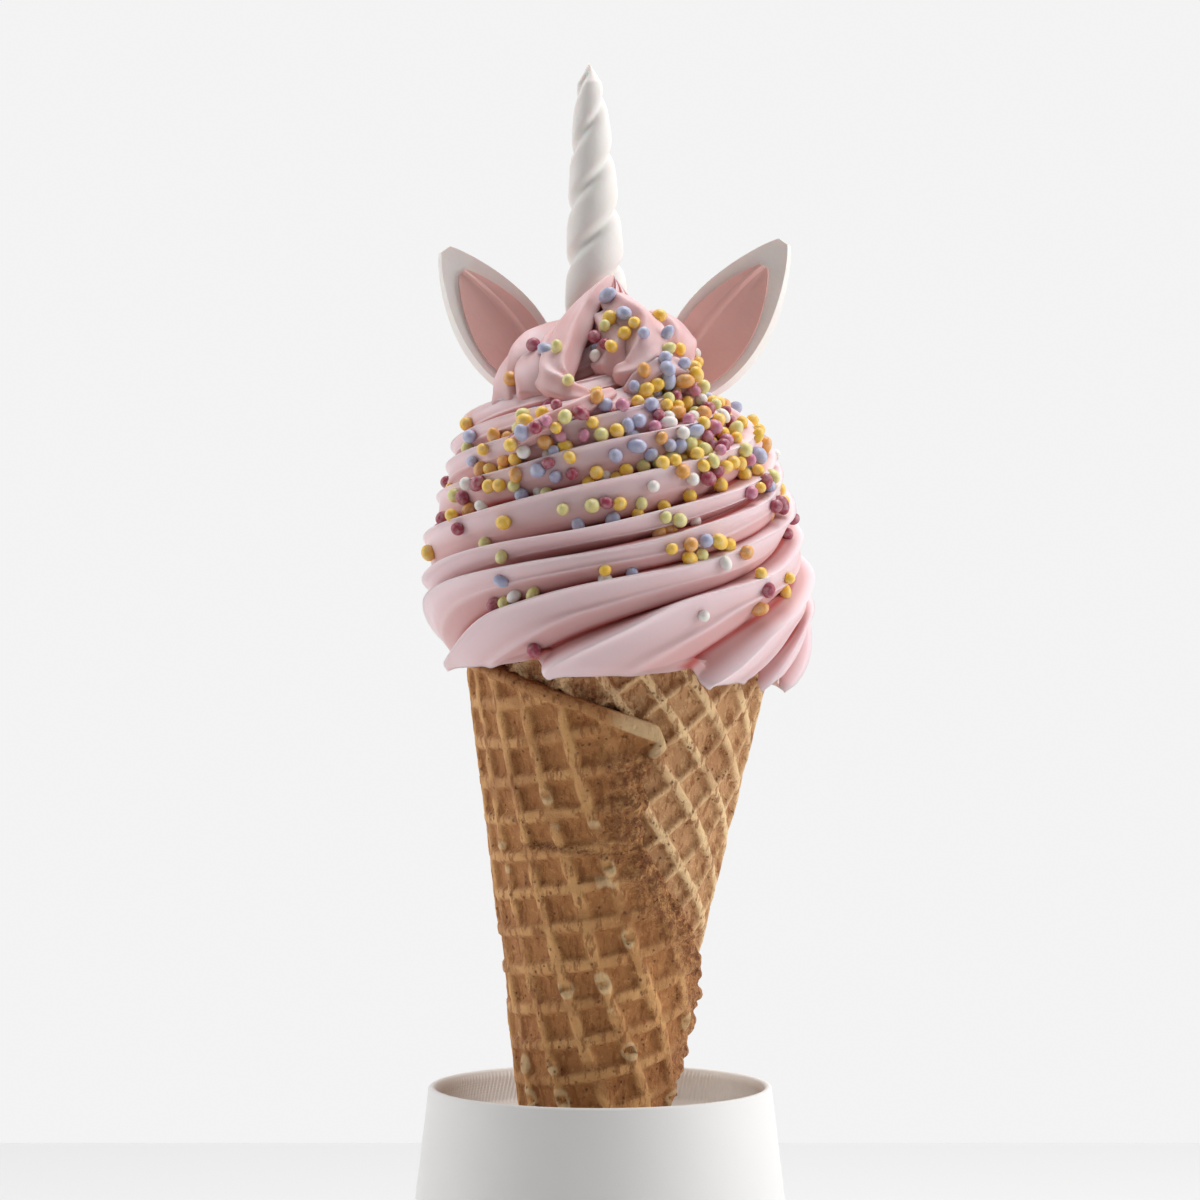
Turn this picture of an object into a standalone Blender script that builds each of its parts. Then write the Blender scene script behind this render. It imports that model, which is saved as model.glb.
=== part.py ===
# Frozen yogurt: a pink piped swirl with sugar pearls on a rolled waffle cone, with a twisted
# fondant horn and two fondant ears, standing in a round white holder.
# The origin is the centre of the holder's underside. +Z is up and the front faces -Y.
import math
import random

import bmesh
import bpy
from mathutils import Matrix, Vector
from mathutils.bvhtree import BVHTree

MM = 0.001
GAP = 0.35 * MM

# Holder: a flared drum with a thin rim, a recessed deck and a socket for the cone
HOLDER_HEIGHT = 76 * MM
HOLDER_BASE_RADIUS = 40.5 * MM
HOLDER_RIM_RADIUS = 31.75 * MM
RIM_WALL = 1.3 * MM
RIM_ROUNDING = 0.45 * MM
DECK_DEPTH = 7.5 * MM
FOOT_ROUNDING = 1.5 * MM
SOCKET_CLEARANCE = 1.9 * MM
HOLDER_STEPS = 48

# Waffle cone: a flat sheet with square cells, rolled up round the cone's axis
CONE_APEX = Vector((-5.9 * MM, 0, 1.6 * MM))
CONE_TILT = math.radians(3.58)
HALF_ANGLE = math.radians(10.35)
RIM_SLANT = 156.3 * MM
SHEET_LOW_SLANT = 62 * MM
SHEET_THICKNESS = 2.0 * MM
SHEET_BACK = -2.4 * MM
SHEET_CUT = 5 * MM
CORE_INSET = 1.9 * MM
MOUTH_DEPTH = 4.0 * MM
TIP_SLANT = 9 * MM
CELL = 7.0 * MM
RIDGE_SHARE = 0.27
RIDGE_HEIGHT = 0.35 * MM
CELL_DEPTH = -0.65 * MM
GRID_TURN = math.radians(-115)
INNER_GRID_TURN = math.radians(-70)
ROLL_TURN = math.radians(15)
INNER_DROP = 0.06 * MM
JOIN_TURN = math.radians(-200)
INNER_END_TURN = math.radians(-445)

# Yogurt: a turned body whose blades run up to the right, with folds round its peak
FRONT = math.radians(-90)
BLADES = 9
COLUMNS = 6
SWIRL_ROWS = 17
BLADE_DEPTH = 3.4 * MM
CREST_PHASE = 0.22
CREST_RISE = 1.5
CREST_FALL = 0.85
CREST_HEIGHT = 5.2 * MM
OVERHANG = 0.1
TWIST_RATE = 128
TWIST_START = 13 * MM
TWIST_SLACK = 1.04
SAG = 0.32
UNEVEN_WIDTH = 0.22
UNEVEN_START = 2.44
UNEVEN_DEPTH = 0.2
WAVER = 0.12
WAVER_LENGTH = 7 * MM
LEAN = -0.081
LIP_RADIUS = 30.1 * MM
LIP_WALL = 0.6 * MM
LIP_TOP = 1.2 * MM
DROOP = 3.3 * MM
DROOP_TOP = 9 * MM
DROOP_LENGTH = 10 * MM
PLUG_RADIUS = 24.6 * MM
SHELF_HEIGHT = 0.85 * MM

# Pearls: the biggest of the sugar pearls on the swirl
PEARL_RADIUS = 1.35 * MM
PEARL_RISE = 0.35
PEARL_SPACING = 2.3
PEARL_TOP = 49 * MM
PEARL_SEED = 7

# Horn: two fondant strands twisted together
HORN_BASE = Vector((-0.2 * MM, 8.5 * MM, 206 * MM))
HORN_TIP = Vector((-2.05 * MM, 8.5 * MM, 266.2 * MM))
HORN_RADIUS = 6.6 * MM
HORN_PITCH = 21 * MM
HORN_PHASE = 1.15
HORN_TAPER = 0.38
HORN_POINT = 0.62
HORN_GROOVE = 0.27
HORN_WAIST = 0.42
HORN_STEPS = 12
HORN_ROWS = 25

# Ears: a white leaf with a pink panel on its front
EAR_ROUNDING = 0.7 * MM
PANEL_SHARE = 0.76
PANEL_RISE = 2.5 * MM
EAR_THICKNESS = 2.4 * MM
PANEL_THICKNESS = 1.2 * MM
EAR_DEPTH = 7 * MM
EAR_STEPS = (4, 7)
EAR_CUP = 20
EAR_BEND = 0.1


def clear_scene():
    for obj in list(bpy.data.objects):
        bpy.data.objects.remove(obj, do_unlink=True)


def collection(name):
    made = bpy.data.collections.new(name)
    bpy.context.scene.collection.children.link(made)
    return made


def material(name, colour, roughness, metallic=0.0):
    made = bpy.data.materials.new(name)
    made.use_nodes = True
    shader = made.node_tree.nodes["Principled BSDF"]
    shader.inputs["Base Color"].default_value = (*colour, 1.0)
    shader.inputs["Roughness"].default_value = roughness
    shader.inputs["Metallic"].default_value = metallic
    return made


def mesh_object(name, mesh, folder, finish=None):
    obj = bpy.data.objects.new(name, mesh)
    folder.objects.link(obj)
    if finish:
        mesh.materials.clear()
        mesh.materials.append(finish)
    return obj


def baked(obj):
    """The object's mesh with its modifiers applied, as a new mesh."""
    bpy.context.view_layer.update()
    graph = bpy.context.evaluated_depsgraph_get()
    return bpy.data.meshes.new_from_object(obj.evaluated_get(graph))


def apply_modifiers(obj):
    old = obj.data
    obj.data = baked(obj)
    obj.modifiers.clear()
    bpy.data.meshes.remove(old)


def turned(name, profile, steps, folder, finish=None):
    """A profile of (radius, height) points turned round Z, run from the top down its outer side."""
    mesh = bpy.data.meshes.new(name)
    shape = bmesh.new()
    corners = [shape.verts.new((radius, 0, height)) for radius, height in profile]
    for first, second in zip(corners, corners[1:]):
        shape.edges.new((first, second))
    shape.to_mesh(mesh)
    shape.free()
    obj = mesh_object(name, mesh, folder, finish)
    screw = obj.modifiers.new("turn", "SCREW")
    screw.steps = steps
    screw.render_steps = steps
    screw.use_merge_vertices = True
    screw.merge_threshold = 0.00001
    apply_modifiers(obj)
    return obj


def boolean(obj, operation, folder):
    """Joins or cuts the object with everything in a collection, then removes that collection."""
    step = obj.modifiers.new(operation.lower(), "BOOLEAN")
    step.operation = operation
    step.operand_type = "COLLECTION"
    step.collection = folder
    step.solver = "MANIFOLD"
    apply_modifiers(obj)
    for used in list(folder.objects):
        bpy.data.objects.remove(used, do_unlink=True)
    bpy.data.collections.remove(folder)
    drop_scraps(obj)


def drop_scraps(obj):
    """Splits faces into triangles and keeps the largest body of faces that join edge to edge."""
    shape = bmesh.new()
    shape.from_mesh(obj.data)
    bmesh.ops.triangulate(shape, faces=shape.faces)
    left = set(shape.faces)
    bodies = []
    while left:
        body = [left.pop()]
        for face in body:
            for edge in face.edges:
                for other in edge.link_faces:
                    if other in left:
                        left.remove(other)
                        body.append(other)
        bodies.append(body)
    bodies.sort(key=len)
    for body in bodies[:-1]:
        bmesh.ops.delete(shape, geom=body, context="FACES")
    shape.to_mesh(obj.data)
    shape.free()


def reshape(obj, move):
    for vertex in obj.data.vertices:
        vertex.co = move(vertex.co.copy())


def ease(value):
    value = min(max(value, 0.0), 1.0)
    return value * value * (3 - 2 * value)


def between(points, value):
    """The result at a value on straight steps between (value, result) points."""
    if value <= points[0][0]:
        return points[0][1]
    for (v0, r0), (v1, r1) in zip(points, points[1:]):
        if value <= v1:
            return r0 + (r1 - r0) * (value - v0) / (v1 - v0)
    return points[-1][1]


def smooth_shade(obj, degrees):
    obj.data.shade_smooth()
    obj.data.set_sharp_from_angle(angle=math.radians(degrees))


def cone_matrix():
    return Matrix.Translation(CONE_APEX) @ Matrix.Rotation(CONE_TILT, 4, "Y")


def rim_matrix():
    return cone_matrix() @ Matrix.Translation((0, 0, RIM_SLANT * math.cos(HALF_ANGLE)))


# Holder

def make_holder(folder):
    deck = HOLDER_HEIGHT - DECK_DEPTH
    inner = HOLDER_RIM_RADIUS - RIM_WALL
    profile = [
        (0, deck),
        (14 * MM, deck),
        (inner - FOOT_ROUNDING, deck),
        (inner, deck + FOOT_ROUNDING),
        (inner, HOLDER_HEIGHT - RIM_ROUNDING),
        (inner + RIM_ROUNDING, HOLDER_HEIGHT),
        (HOLDER_RIM_RADIUS - RIM_ROUNDING, HOLDER_HEIGHT),
        (HOLDER_RIM_RADIUS, HOLDER_HEIGHT - RIM_ROUNDING),
        ((HOLDER_RIM_RADIUS + HOLDER_BASE_RADIUS) / 2, HOLDER_HEIGHT / 2),
        (HOLDER_BASE_RADIUS, FOOT_ROUNDING),
        (HOLDER_BASE_RADIUS - FOOT_ROUNDING, 0),
        (0, 0),
    ]
    finish = material("matte white", (0.82, 0.81, 0.79), 0.6)
    holder = turned("holder", profile, HOLDER_STEPS, folder, finish)
    cutters = collection("holder_cutters")
    length = (HOLDER_HEIGHT + 10 * MM) / math.cos(HALF_ANGLE)
    profile = [
        (0, length),
        (length * math.tan(HALF_ANGLE) + SOCKET_CLEARANCE, length),
        (SOCKET_CLEARANCE + TIP_SLANT * math.sin(HALF_ANGLE), TIP_SLANT - 3 * MM),
        (0, TIP_SLANT - 3 * MM),
    ]
    socket = turned("socket", profile, 40, cutters)
    socket.data.transform(cone_matrix())
    socket.hide_render = True
    socket.display_type = "WIRE"
    boolean(holder, "DIFFERENCE", cutters)
    smooth_shade(holder, 30)


# Waffle cone

def seam_turn(slant):
    """Turn of the outer wrap's free edge, to the right of the front, at a distance from the tip."""
    drop = ease((128 * MM - slant) / (45 * MM))
    return math.radians(14 + 84 * drop)


def flat_point(slant, turn, grid_turn=GRID_TURN):
    """A place on the cone laid out flat. The cells stand square to the cone at the grid's turn."""
    spread = (turn - grid_turn) * math.sin(HALF_ANGLE)
    return Vector((slant * math.sin(spread), slant * math.cos(spread), 0))


def arc(slant, start, end, count, grid_turn=GRID_TURN):
    step = (end - start) / count
    return [flat_point(slant, start + step * i, grid_turn) for i in range(count + 1)]


def outer_wrap_outline():
    """The outer half of the sheet: its top edge drops towards a rounded corner at the seam."""
    top_left = flat_point(RIM_SLANT, math.radians(-78))
    corner = [flat_point(145.2 * MM, math.radians(15)), flat_point(143.2 * MM, math.radians(20)),
              flat_point(140.6 * MM, math.radians(19))]
    slants = [137, 131, 125, 119, 112, 104, 96, 88, 80, 70]
    edge = [flat_point(slant * MM, seam_turn(slant * MM)) for slant in slants]
    low = arc(SHEET_LOW_SLANT, seam_turn(SHEET_LOW_SLANT), JOIN_TURN, 12)
    high = arc(RIM_SLANT, JOIN_TURN, math.radians(-78), 8)[:-1]
    return [top_left] + corner + edge + low + high


def inner_wrap_outline():
    start = JOIN_TURN + math.radians(1)
    high = arc(RIM_SLANT, INNER_END_TURN, start, 18, INNER_GRID_TURN)
    low = arc(SHEET_LOW_SLANT, start, INNER_END_TURN, 14, INNER_GRID_TURN)
    return high + low


def prism(name, outline, folder):
    """The outline as a tall cutter through the flat sheet."""
    mesh = bpy.data.meshes.new(name)
    shape = bmesh.new()
    corners = [shape.verts.new((point.x, point.y, -2 * SHEET_CUT)) for point in outline]
    face = shape.faces.new(corners)
    raised = bmesh.ops.extrude_face_region(shape, geom=[face])["geom"]
    tops = [item for item in raised if isinstance(item, bmesh.types.BMVert)]
    bmesh.ops.translate(shape, verts=tops, vec=(0, 0, 4 * SHEET_CUT))
    bmesh.ops.recalc_face_normals(shape, faces=shape.faces)
    shape.to_mesh(mesh)
    shape.free()
    obj = mesh_object(name, mesh, folder)
    obj.hide_render = True
    obj.display_type = "WIRE"
    return obj


def flat_sheet(name, outline, folder):
    """A flat sheet with raised ridges round square cells, cut to an outline."""
    low_x = math.floor(min(point.x for point in outline) / CELL) - 1
    low_y = math.floor(min(point.y for point in outline) / CELL) - 1
    cells_x = math.ceil(max(point.x for point in outline) / CELL) + 1 - low_x
    cells_y = math.ceil(max(point.y for point in outline) / CELL) + 1 - low_y
    shape = bmesh.new()
    bmesh.ops.create_grid(shape, x_segments=cells_x, y_segments=cells_y, size=1)
    for vertex in shape.verts:
        vertex.co.x = ((vertex.co.x + 1) / 2 * cells_x + low_x) * CELL
        vertex.co.y = ((vertex.co.y + 1) / 2 * cells_y + low_y) * CELL
        vertex.co.z = RIDGE_HEIGHT
    ridges = list(shape.edges)
    floors = list(shape.faces)
    bmesh.ops.inset_individual(shape, faces=floors, thickness=CELL * RIDGE_SHARE)
    for face in floors:
        for vertex in face.verts:
            vertex.co.z = CELL_DEPTH
    bmesh.ops.subdivide_edges(shape, edges=ridges, cuts=1)
    raised = bmesh.ops.extrude_face_region(shape, geom=list(shape.faces))["geom"]
    for vertex in [item for item in raised if isinstance(item, bmesh.types.BMVert)]:
        vertex.co.z = -SHEET_CUT
    bmesh.ops.recalc_face_normals(shape, faces=shape.faces)
    mesh = bpy.data.meshes.new(name)
    shape.to_mesh(mesh)
    shape.free()
    sheet = mesh_object(name, mesh, folder)
    cutters = collection(name + "_outline")
    prism(name + "_prism", outline, cutters)
    boolean(sheet, "INTERSECT", cutters)
    return sheet


def roll_up(sheet, drop, grid_turn):
    """Rolls the flat sheet round the cone. Its face winds in by its thickness in the first turn."""

    def rolled(point):
        slant = math.hypot(point.x, point.y)
        turn = math.atan2(point.x, point.y) / math.sin(HALF_ANGLE) + grid_turn
        turns_in = min((ROLL_TURN - turn) / math.tau, 1)
        wound = SHEET_THICKNESS * (0.5 - turns_in) - drop
        out = SHEET_BACK if point.z < -2 * MM else wound + point.z
        radius = slant * math.sin(HALF_ANGLE) + out * math.cos(HALF_ANGLE)
        height = slant * math.cos(HALF_ANGLE) - out * math.sin(HALF_ANGLE)
        return Vector((radius * math.sin(turn), -radius * math.cos(turn), height))

    reshape(sheet, rolled)


def make_cone(folder):
    finish = material("baked waffle", (0.47, 0.26, 0.12), 0.8)
    rim = RIM_SLANT * math.cos(HALF_ANGLE)
    slope = math.tan(HALF_ANGLE)
    step = (SHEET_LOW_SLANT - 1 * MM) * math.cos(HALF_ANGLE)
    top = rim - MOUTH_DEPTH
    profile = [
        (0, top),
        (top * slope - CORE_INSET, top),
        (step * slope - CORE_INSET, step),
        (step * slope - 0.2 * MM, step - 0.5 * MM),
        ((TIP_SLANT + 3 * MM) * slope, TIP_SLANT + 3 * MM),
        (TIP_SLANT * slope * 0.7, TIP_SLANT + 0.6 * MM),
        (0, TIP_SLANT),
    ]
    cone = turned("waffle_cone", profile, 36, folder, finish)
    wraps = collection("wraps")
    outer = flat_sheet("outer_wrap", outer_wrap_outline(), wraps)
    roll_up(outer, 0, GRID_TURN)
    inner = flat_sheet("inner_wrap", inner_wrap_outline(), wraps)
    roll_up(inner, INNER_DROP, INNER_GRID_TURN)
    boolean(cone, "UNION", wraps)
    cone.data.transform(cone_matrix())
    smooth_shade(cone, 35)
    return cone


# Yogurt

SWIRL_OUTLINE = [
    (-0.7 * MM, 31.6 * MM),
    (0.8 * MM, 33.4 * MM),
    (5.0 * MM, 35.2 * MM),
    (11 * MM, 36.0 * MM),
    (17.5 * MM, 35.8 * MM),
    (25 * MM, 34.2 * MM),
    (32.5 * MM, 31.7 * MM),
    (40 * MM, 28.9 * MM),
    (44.5 * MM, 25.6 * MM),
    (49 * MM, 18.6 * MM),
    (53.5 * MM, 12.0 * MM),
    (60 * MM, 7.2 * MM),
    (65 * MM, 3.8 * MM),
    (69 * MM, 1.4 * MM),
]
PEAK_HEIGHT = 70.6 * MM
BLADE_STRENGTH = [
    (-2 * MM, 0.7),
    (2 * MM, 0.95),
    (10 * MM, 1.0),
    (35 * MM, 0.95),
    (50 * MM, 0.8),
    (60 * MM, 0.35),
    (68 * MM, 0.1),
]


def twist(height):
    """Turn of the blades at a height above the cone's rim, steeper near the rim."""
    height = max(height, 0)
    slack = TWIST_SLACK * (1 - math.exp(-height / TWIST_START))
    return TWIST_RATE * height - slack


def sagged(turn):
    """The blades hang lower at the front, so they run flat on the left and steep on the right."""
    return turn + SAG * (math.cos(turn - FRONT) - 1)


def blade_wave(phase):
    """Height of a blade's surface, 0 in the groove and 1 at the sharp crest along its upper edge."""
    if phase < CREST_PHASE:
        return math.sin(math.pi / 2 * phase / CREST_PHASE) ** CREST_RISE
    return math.cos(math.pi / 2 * (phase - CREST_PHASE) / (1 - CREST_PHASE)) ** CREST_FALL


def overhang(phase):
    """How far a blade's edge leans over the groove above it, as a share of the blade's width."""
    return OVERHANG * math.exp(-((phase - CREST_PHASE) / OVERHANG) ** 2)


def swirl_point(turn, radius, height):
    """Moves a point of the turned body to its place on the swirl."""
    blade = (turn - FRONT + twist(CREST_HEIGHT)) * BLADES / math.tau + CREST_PHASE
    start = math.sin(UNEVEN_START)
    blade += UNEVEN_WIDTH * (math.sin(2 * math.tau * blade / BLADES + UNEVEN_START) - start)
    blade += UNEVEN_WIDTH / 3 * math.sin(4 * math.tau * blade / BLADES)
    number = math.floor(blade) % BLADES
    phase = blade - math.floor(blade)
    uneven = 1 + UNEVEN_DEPTH * math.sin(2.4 * number)
    uneven += WAVER * math.sin(height / WAVER_LENGTH + 1.9 * number)
    depth = BLADE_DEPTH * between(BLADE_STRENGTH, height) * uneven
    radius = radius - depth * (1 - blade_wave(phase))
    if height < LIP_TOP:
        radius = max(radius, LIP_RADIUS + LIP_WALL)
    turn = sagged(turn + twist(height) - overhang(phase) * math.tau / BLADES)
    droop = DROOP * blade_wave(phase) * ease((DROOP_TOP - height) / DROOP_LENGTH)
    height = height - droop
    return Vector((radius * math.cos(turn) + LEAN * max(height, 0), radius * math.sin(turn), height))


def swirl_profile(rows):
    top, bottom = PEAK_HEIGHT, SWIRL_OUTLINE[0][0]
    profile = [(0, top)]
    for i in range(1, rows + 1):
        height = top - (top - bottom) * i / rows
        profile.append((between(SWIRL_OUTLINE, height), height))
    return profile


def make_swirl(folder, finish):
    underside = [
        (LIP_RADIUS, -0.4 * MM),
        (LIP_RADIUS, SHELF_HEIGHT),
        (PLUG_RADIUS, SHELF_HEIGHT),
        (PLUG_RADIUS - 0.3 * MM, -MOUTH_DEPTH + GAP),
        (0, -MOUTH_DEPTH + GAP),
    ]
    swirl = turned("yogurt", swirl_profile(SWIRL_ROWS) + underside, BLADES * COLUMNS, folder, finish)

    def placed(point):
        radius = math.hypot(point.x, point.y)
        below = point.z < SHELF_HEIGHT * 1.1 and radius < LIP_RADIUS + 0.2 * MM
        turn = math.atan2(point.y, point.x)
        if below or radius < 0.01 * MM:
            turn = sagged(turn)
            lean = LEAN * max(point.z, 0)
            return Vector((radius * math.cos(turn) + lean, radius * math.sin(turn), point.z))
        return swirl_point(turn, radius, point.z)

    reshape(swirl, placed)
    swirl.data.transform(rim_matrix())
    return swirl


# Each fold: across, back, up above the rim, and radius, in millimetres
FOLDS = {
    "peak_strand": [(-1.4, -19.5, 46.5, 1.8), (-5.6, -18.8, 47.4, 2.8), (-8.4, -16.5, 50.0, 3.2),
                    (-7.0, -12.5, 54.8, 3.3), (-4.8, -8.5, 59.6, 3.0), (-2.2, -5, 64.2, 2.4),
                    (0.8, -2, 68.4, 1.5), (2.4, -0.5, 70.7, 0.5)],
    "right_hook": [(1.2, -3.5, 66.6, 2.0), (4.8, -7.5, 62.4, 3.6), (7.8, -10.5, 58.6, 4.0),
                   (8.0, -14, 54.4, 3.6), (5.6, -16.5, 51.6, 2.6), (2.2, -17, 51.2, 1.6)],
    "rear_lobe": [(4.0, 4, 58, 3.8), (9.6, 3, 60.6, 4.2), (13.2, 1.5, 57.2, 4.4), (13.4, -1, 51, 4.6)],
    "right_loop": [(5.0, -18.5, 46.8, 2.0), (7.8, -17.5, 50.4, 2.4), (12.2, -15.5, 52.0, 2.6),
                   (15.4, -13.5, 49.4, 2.7), (16.4, -13.5, 44.6, 2.5)],
    "left_lobe": [(-16.0, -11, 44.5, 3.6), (-15.4, -9, 50.6, 3.5), (-13.6, -6, 55.0, 3.4),
                  (-9.8, -2, 58.2, 3.2), (-4, 1, 60.5, 3.0)],
}


def fold_tube(name, stops, folder):
    """A soft fold of yogurt: a tube through (across, back, up, radius) stops above the rim."""
    curve = bpy.data.curves.new(name, "CURVE")
    curve.dimensions = "3D"
    curve.bevel_depth = 1.0
    curve.bevel_resolution = 1
    curve.resolution_u = 2
    curve.use_fill_caps = True
    spline = curve.splines.new("NURBS")
    spline.points.add(len(stops) - 1)
    for point, (across, back, up, radius) in zip(spline.points, stops):
        point.co = (across * MM, back * MM, up * MM, 1)
        point.radius = radius * MM
    spline.order_u = 4
    spline.use_endpoint_u = True
    tube = mesh_object(name + "_path", curve, folder)
    mesh = baked(tube)
    bpy.data.objects.remove(tube, do_unlink=True)
    shape = bmesh.new()
    shape.from_mesh(mesh)
    bmesh.ops.remove_doubles(shape, verts=shape.verts, dist=0.01 * MM)
    bmesh.ops.recalc_face_normals(shape, faces=shape.faces)
    shape.to_mesh(mesh)
    shape.free()
    fold = mesh_object(name, mesh, folder)
    fold.data.transform(Matrix.Translation((0, 0, rim_matrix().translation.z)))
    return fold


# Each drift of pearls: how many, then its middle and spread as turn in degrees and height
PEARL_DRIFTS = [
    (11, -55, 17, 40, 5),
    (5, -125, 14, 33, 6),
    (4, -95, 18, 27, 4),
    (4, -70, 16, 17, 4),
    (2, -140, 12, 15, 5),
    (2, -15, 16, 33, 6),
    (4, 60, 35, 38, 6),
    (4, 125, 35, 34, 7),
]


def pearl_places(surface):
    """Seeded places on the swirl, clear of each other, as a point and the way out of the surface."""
    draw = random.Random(PEARL_SEED)
    places = []
    for count, turn, turn_spread, height, height_spread in PEARL_DRIFTS:
        wanted = len(places) + count
        for _attempt in range(count * 20):
            if len(places) == wanted:
                break
            angle = math.radians(draw.gauss(turn, turn_spread))
            up = min(draw.gauss(height, height_spread) * MM, PEARL_TOP)
            middle = rim_matrix() @ Vector((LEAN * up, 0, up))
            away = Vector((math.cos(angle), math.sin(angle), 0.15)).normalized()
            hit, normal, _index, _distance = surface.ray_cast(middle + away * 80 * MM, -away)
            if hit is None:
                continue
            spot = hit + normal * PEARL_RADIUS * PEARL_RISE
            if all((spot - other).length > PEARL_SPACING * PEARL_RADIUS for other in places):
                places.append(spot)
    return places


def add_pearls(swirl, folder):
    shape = bmesh.new()
    shape.from_mesh(swirl.data)
    surface = BVHTree.FromBMesh(shape)
    shape.free()
    for number, spot in enumerate(pearl_places(surface)):
        ball = bmesh.new()
        turn = Matrix.Rotation(number * 2.4, 4, Vector((0.3, 0.5, 0.8)).normalized())
        bmesh.ops.create_icosphere(ball, subdivisions=1, radius=PEARL_RADIUS,
                                   matrix=Matrix.Translation(spot) @ turn)
        mesh = bpy.data.meshes.new("pearl")
        ball.to_mesh(mesh)
        ball.free()
        mesh_object("pearl", mesh, folder)


# Horn and ears

def horn_body(name, grow, folder, finish=None):
    """Two tapering strands twisted round each other, larger all round by a given amount."""
    axis = HORN_TIP - HORN_BASE
    length = axis.length
    profile = [(0, length + grow)]
    for i in range(1, HORN_ROWS + 1):
        along = 1 - (i / HORN_ROWS) ** 1.15
        bulge = HORN_RADIUS * (1 - along) ** HORN_TAPER
        profile.append((min(bulge, HORN_POINT * length * (1 - along)), length * along))
    profile.append((0, -grow))
    horn = turned(name, profile, HORN_STEPS, folder, finish)

    def twisted(point):
        radius = math.hypot(point.x, point.y)
        if radius < 0.01 * MM:
            return point
        strand = math.atan2(point.y, point.x)
        waist = 1 - HORN_GROOVE * math.exp(-(math.cos(strand) / HORN_WAIST) ** 2)
        turn = strand + HORN_PHASE + point.z * math.tau / HORN_PITCH
        width = radius * waist + grow
        return Vector((width * math.cos(turn), width * math.sin(turn), point.z))

    reshape(horn, twisted)
    drop_scraps(horn)
    lean = Vector((0, 0, 1)).rotation_difference(axis).to_matrix().to_4x4()
    horn.data.transform(Matrix.Translation(HORN_BASE) @ lean)
    return horn


def leaf_width(along):
    """Half the leaf's width from its foot (0) to its tip (1)."""
    return math.sin(math.pi * min(along, 1.0) ** 0.85) ** 0.72 * (1 - 0.12 * along) + 0.02


def leaf(name, length, half_width, thickness, rounding, folder, finish=None):
    """A thick leaf standing up from its foot, hollow towards the front."""
    across_steps, along_steps = EAR_STEPS
    shape = bmesh.new()
    bmesh.ops.create_grid(shape, x_segments=across_steps, y_segments=along_steps, size=1)
    for vertex in shape.verts:
        across = vertex.co.x
        along = (vertex.co.y + 1) / 2
        width = half_width * leaf_width(0.04 + 0.94 * along)
        back = -EAR_CUP * (width * across) ** 2 - EAR_BEND * length * (along - 0.4) ** 2
        vertex.co = Vector((width * across, back, length * along))
    bmesh.ops.recalc_face_normals(shape, faces=shape.faces)
    mesh = bpy.data.meshes.new(name)
    shape.to_mesh(mesh)
    shape.free()
    obj = mesh_object(name, mesh, folder, finish)
    thick = obj.modifiers.new("thickness", "SOLIDIFY")
    thick.thickness = thickness
    thick.offset = 0
    if rounding:
        rounded = obj.modifiers.new("round", "BEVEL")
        rounded.width = rounding
        rounded.segments = 1
        rounded.limit_method = "ANGLE"
        rounded.angle_limit = math.radians(50)
    apply_modifiers(obj)
    return obj


# Each ear: foot and tip as (across, height) and half width in millimetres, and its turn in degrees
EARS = {
    "ear_left": {"foot": (-9.9, 204.0), "tip": (-29.2, 230.9), "half_width": 8.2, "yaw": 12},
    "ear_right": {"foot": (13.8, 203.6), "tip": (34.6, 232.3), "half_width": 8.6, "yaw": -12},
}


def ear_matrix(place):
    """Stands an ear on its foot, leaning out to its tip and turned a little to its own side."""
    across, up = place["foot"]
    lean = math.atan2(place["tip"][0] - across, place["tip"][1] - up)
    foot = Matrix.Translation((across * MM, EAR_DEPTH, up * MM))
    yaw = Matrix.Rotation(math.radians(place["yaw"]), 4, "Z")
    return foot @ Matrix.Rotation(lean, 4, "Y") @ yaw


def make_ears(folder, cutters):
    white = material("white fondant", (0.83, 0.80, 0.76), 0.6)
    pink = material("pink fondant", (0.76, 0.42, 0.40), 0.6)
    for name, place in EARS.items():
        matrix = ear_matrix(place)
        length = math.dist(place["foot"], place["tip"]) * MM
        width = place["half_width"] * MM
        ear = leaf(name, length, width, EAR_THICKNESS, EAR_ROUNDING, folder, white)
        ear.data.transform(matrix)
        smooth_shade(ear, 40)
        forward = -(EAR_THICKNESS + PANEL_THICKNESS) / 2 - GAP
        inset = Matrix.Translation((0, forward, PANEL_RISE))
        panel = leaf(name + "_inner", length * PANEL_SHARE, width * PANEL_SHARE, PANEL_THICKNESS, 0,
                     folder, pink)
        panel.data.transform(matrix @ inset)
        smooth_shade(panel, 40)
        depth = EAR_THICKNESS + PANEL_THICKNESS + 3 * GAP
        slot = leaf(name + "_slot", length, width + GAP, depth, 0, cutters)
        back = (EAR_THICKNESS + 2 * GAP - depth) / 2
        slot.data.transform(matrix @ Matrix.Translation((0, back, -GAP)))


def main():
    clear_scene()
    folder = collection("frozen_yogurt")
    make_holder(folder)
    make_cone(folder)

    pink = material("pink yogurt", (0.76, 0.50, 0.53), 0.45)
    swirl = make_swirl(folder, pink)
    folds = collection("folds")
    for name, stops in FOLDS.items():
        fold_tube(name, stops, folds)
    boolean(swirl, "UNION", folds)
    pearls = collection("pearls")
    add_pearls(swirl, pearls)
    boolean(swirl, "UNION", pearls)
    cutters = collection("horn_cutter")
    horn_body("horn_hole", 1.2 * GAP, cutters)
    boolean(swirl, "DIFFERENCE", cutters)
    cutters = collection("ear_cutters")
    make_ears(folder, cutters)
    boolean(swirl, "DIFFERENCE", cutters)
    smooth_shade(swirl, 50)

    horn = horn_body("horn", 0, folder, material("horn fondant", (0.82, 0.79, 0.75), 0.6))
    smooth_shade(horn, 60)


main()
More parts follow.
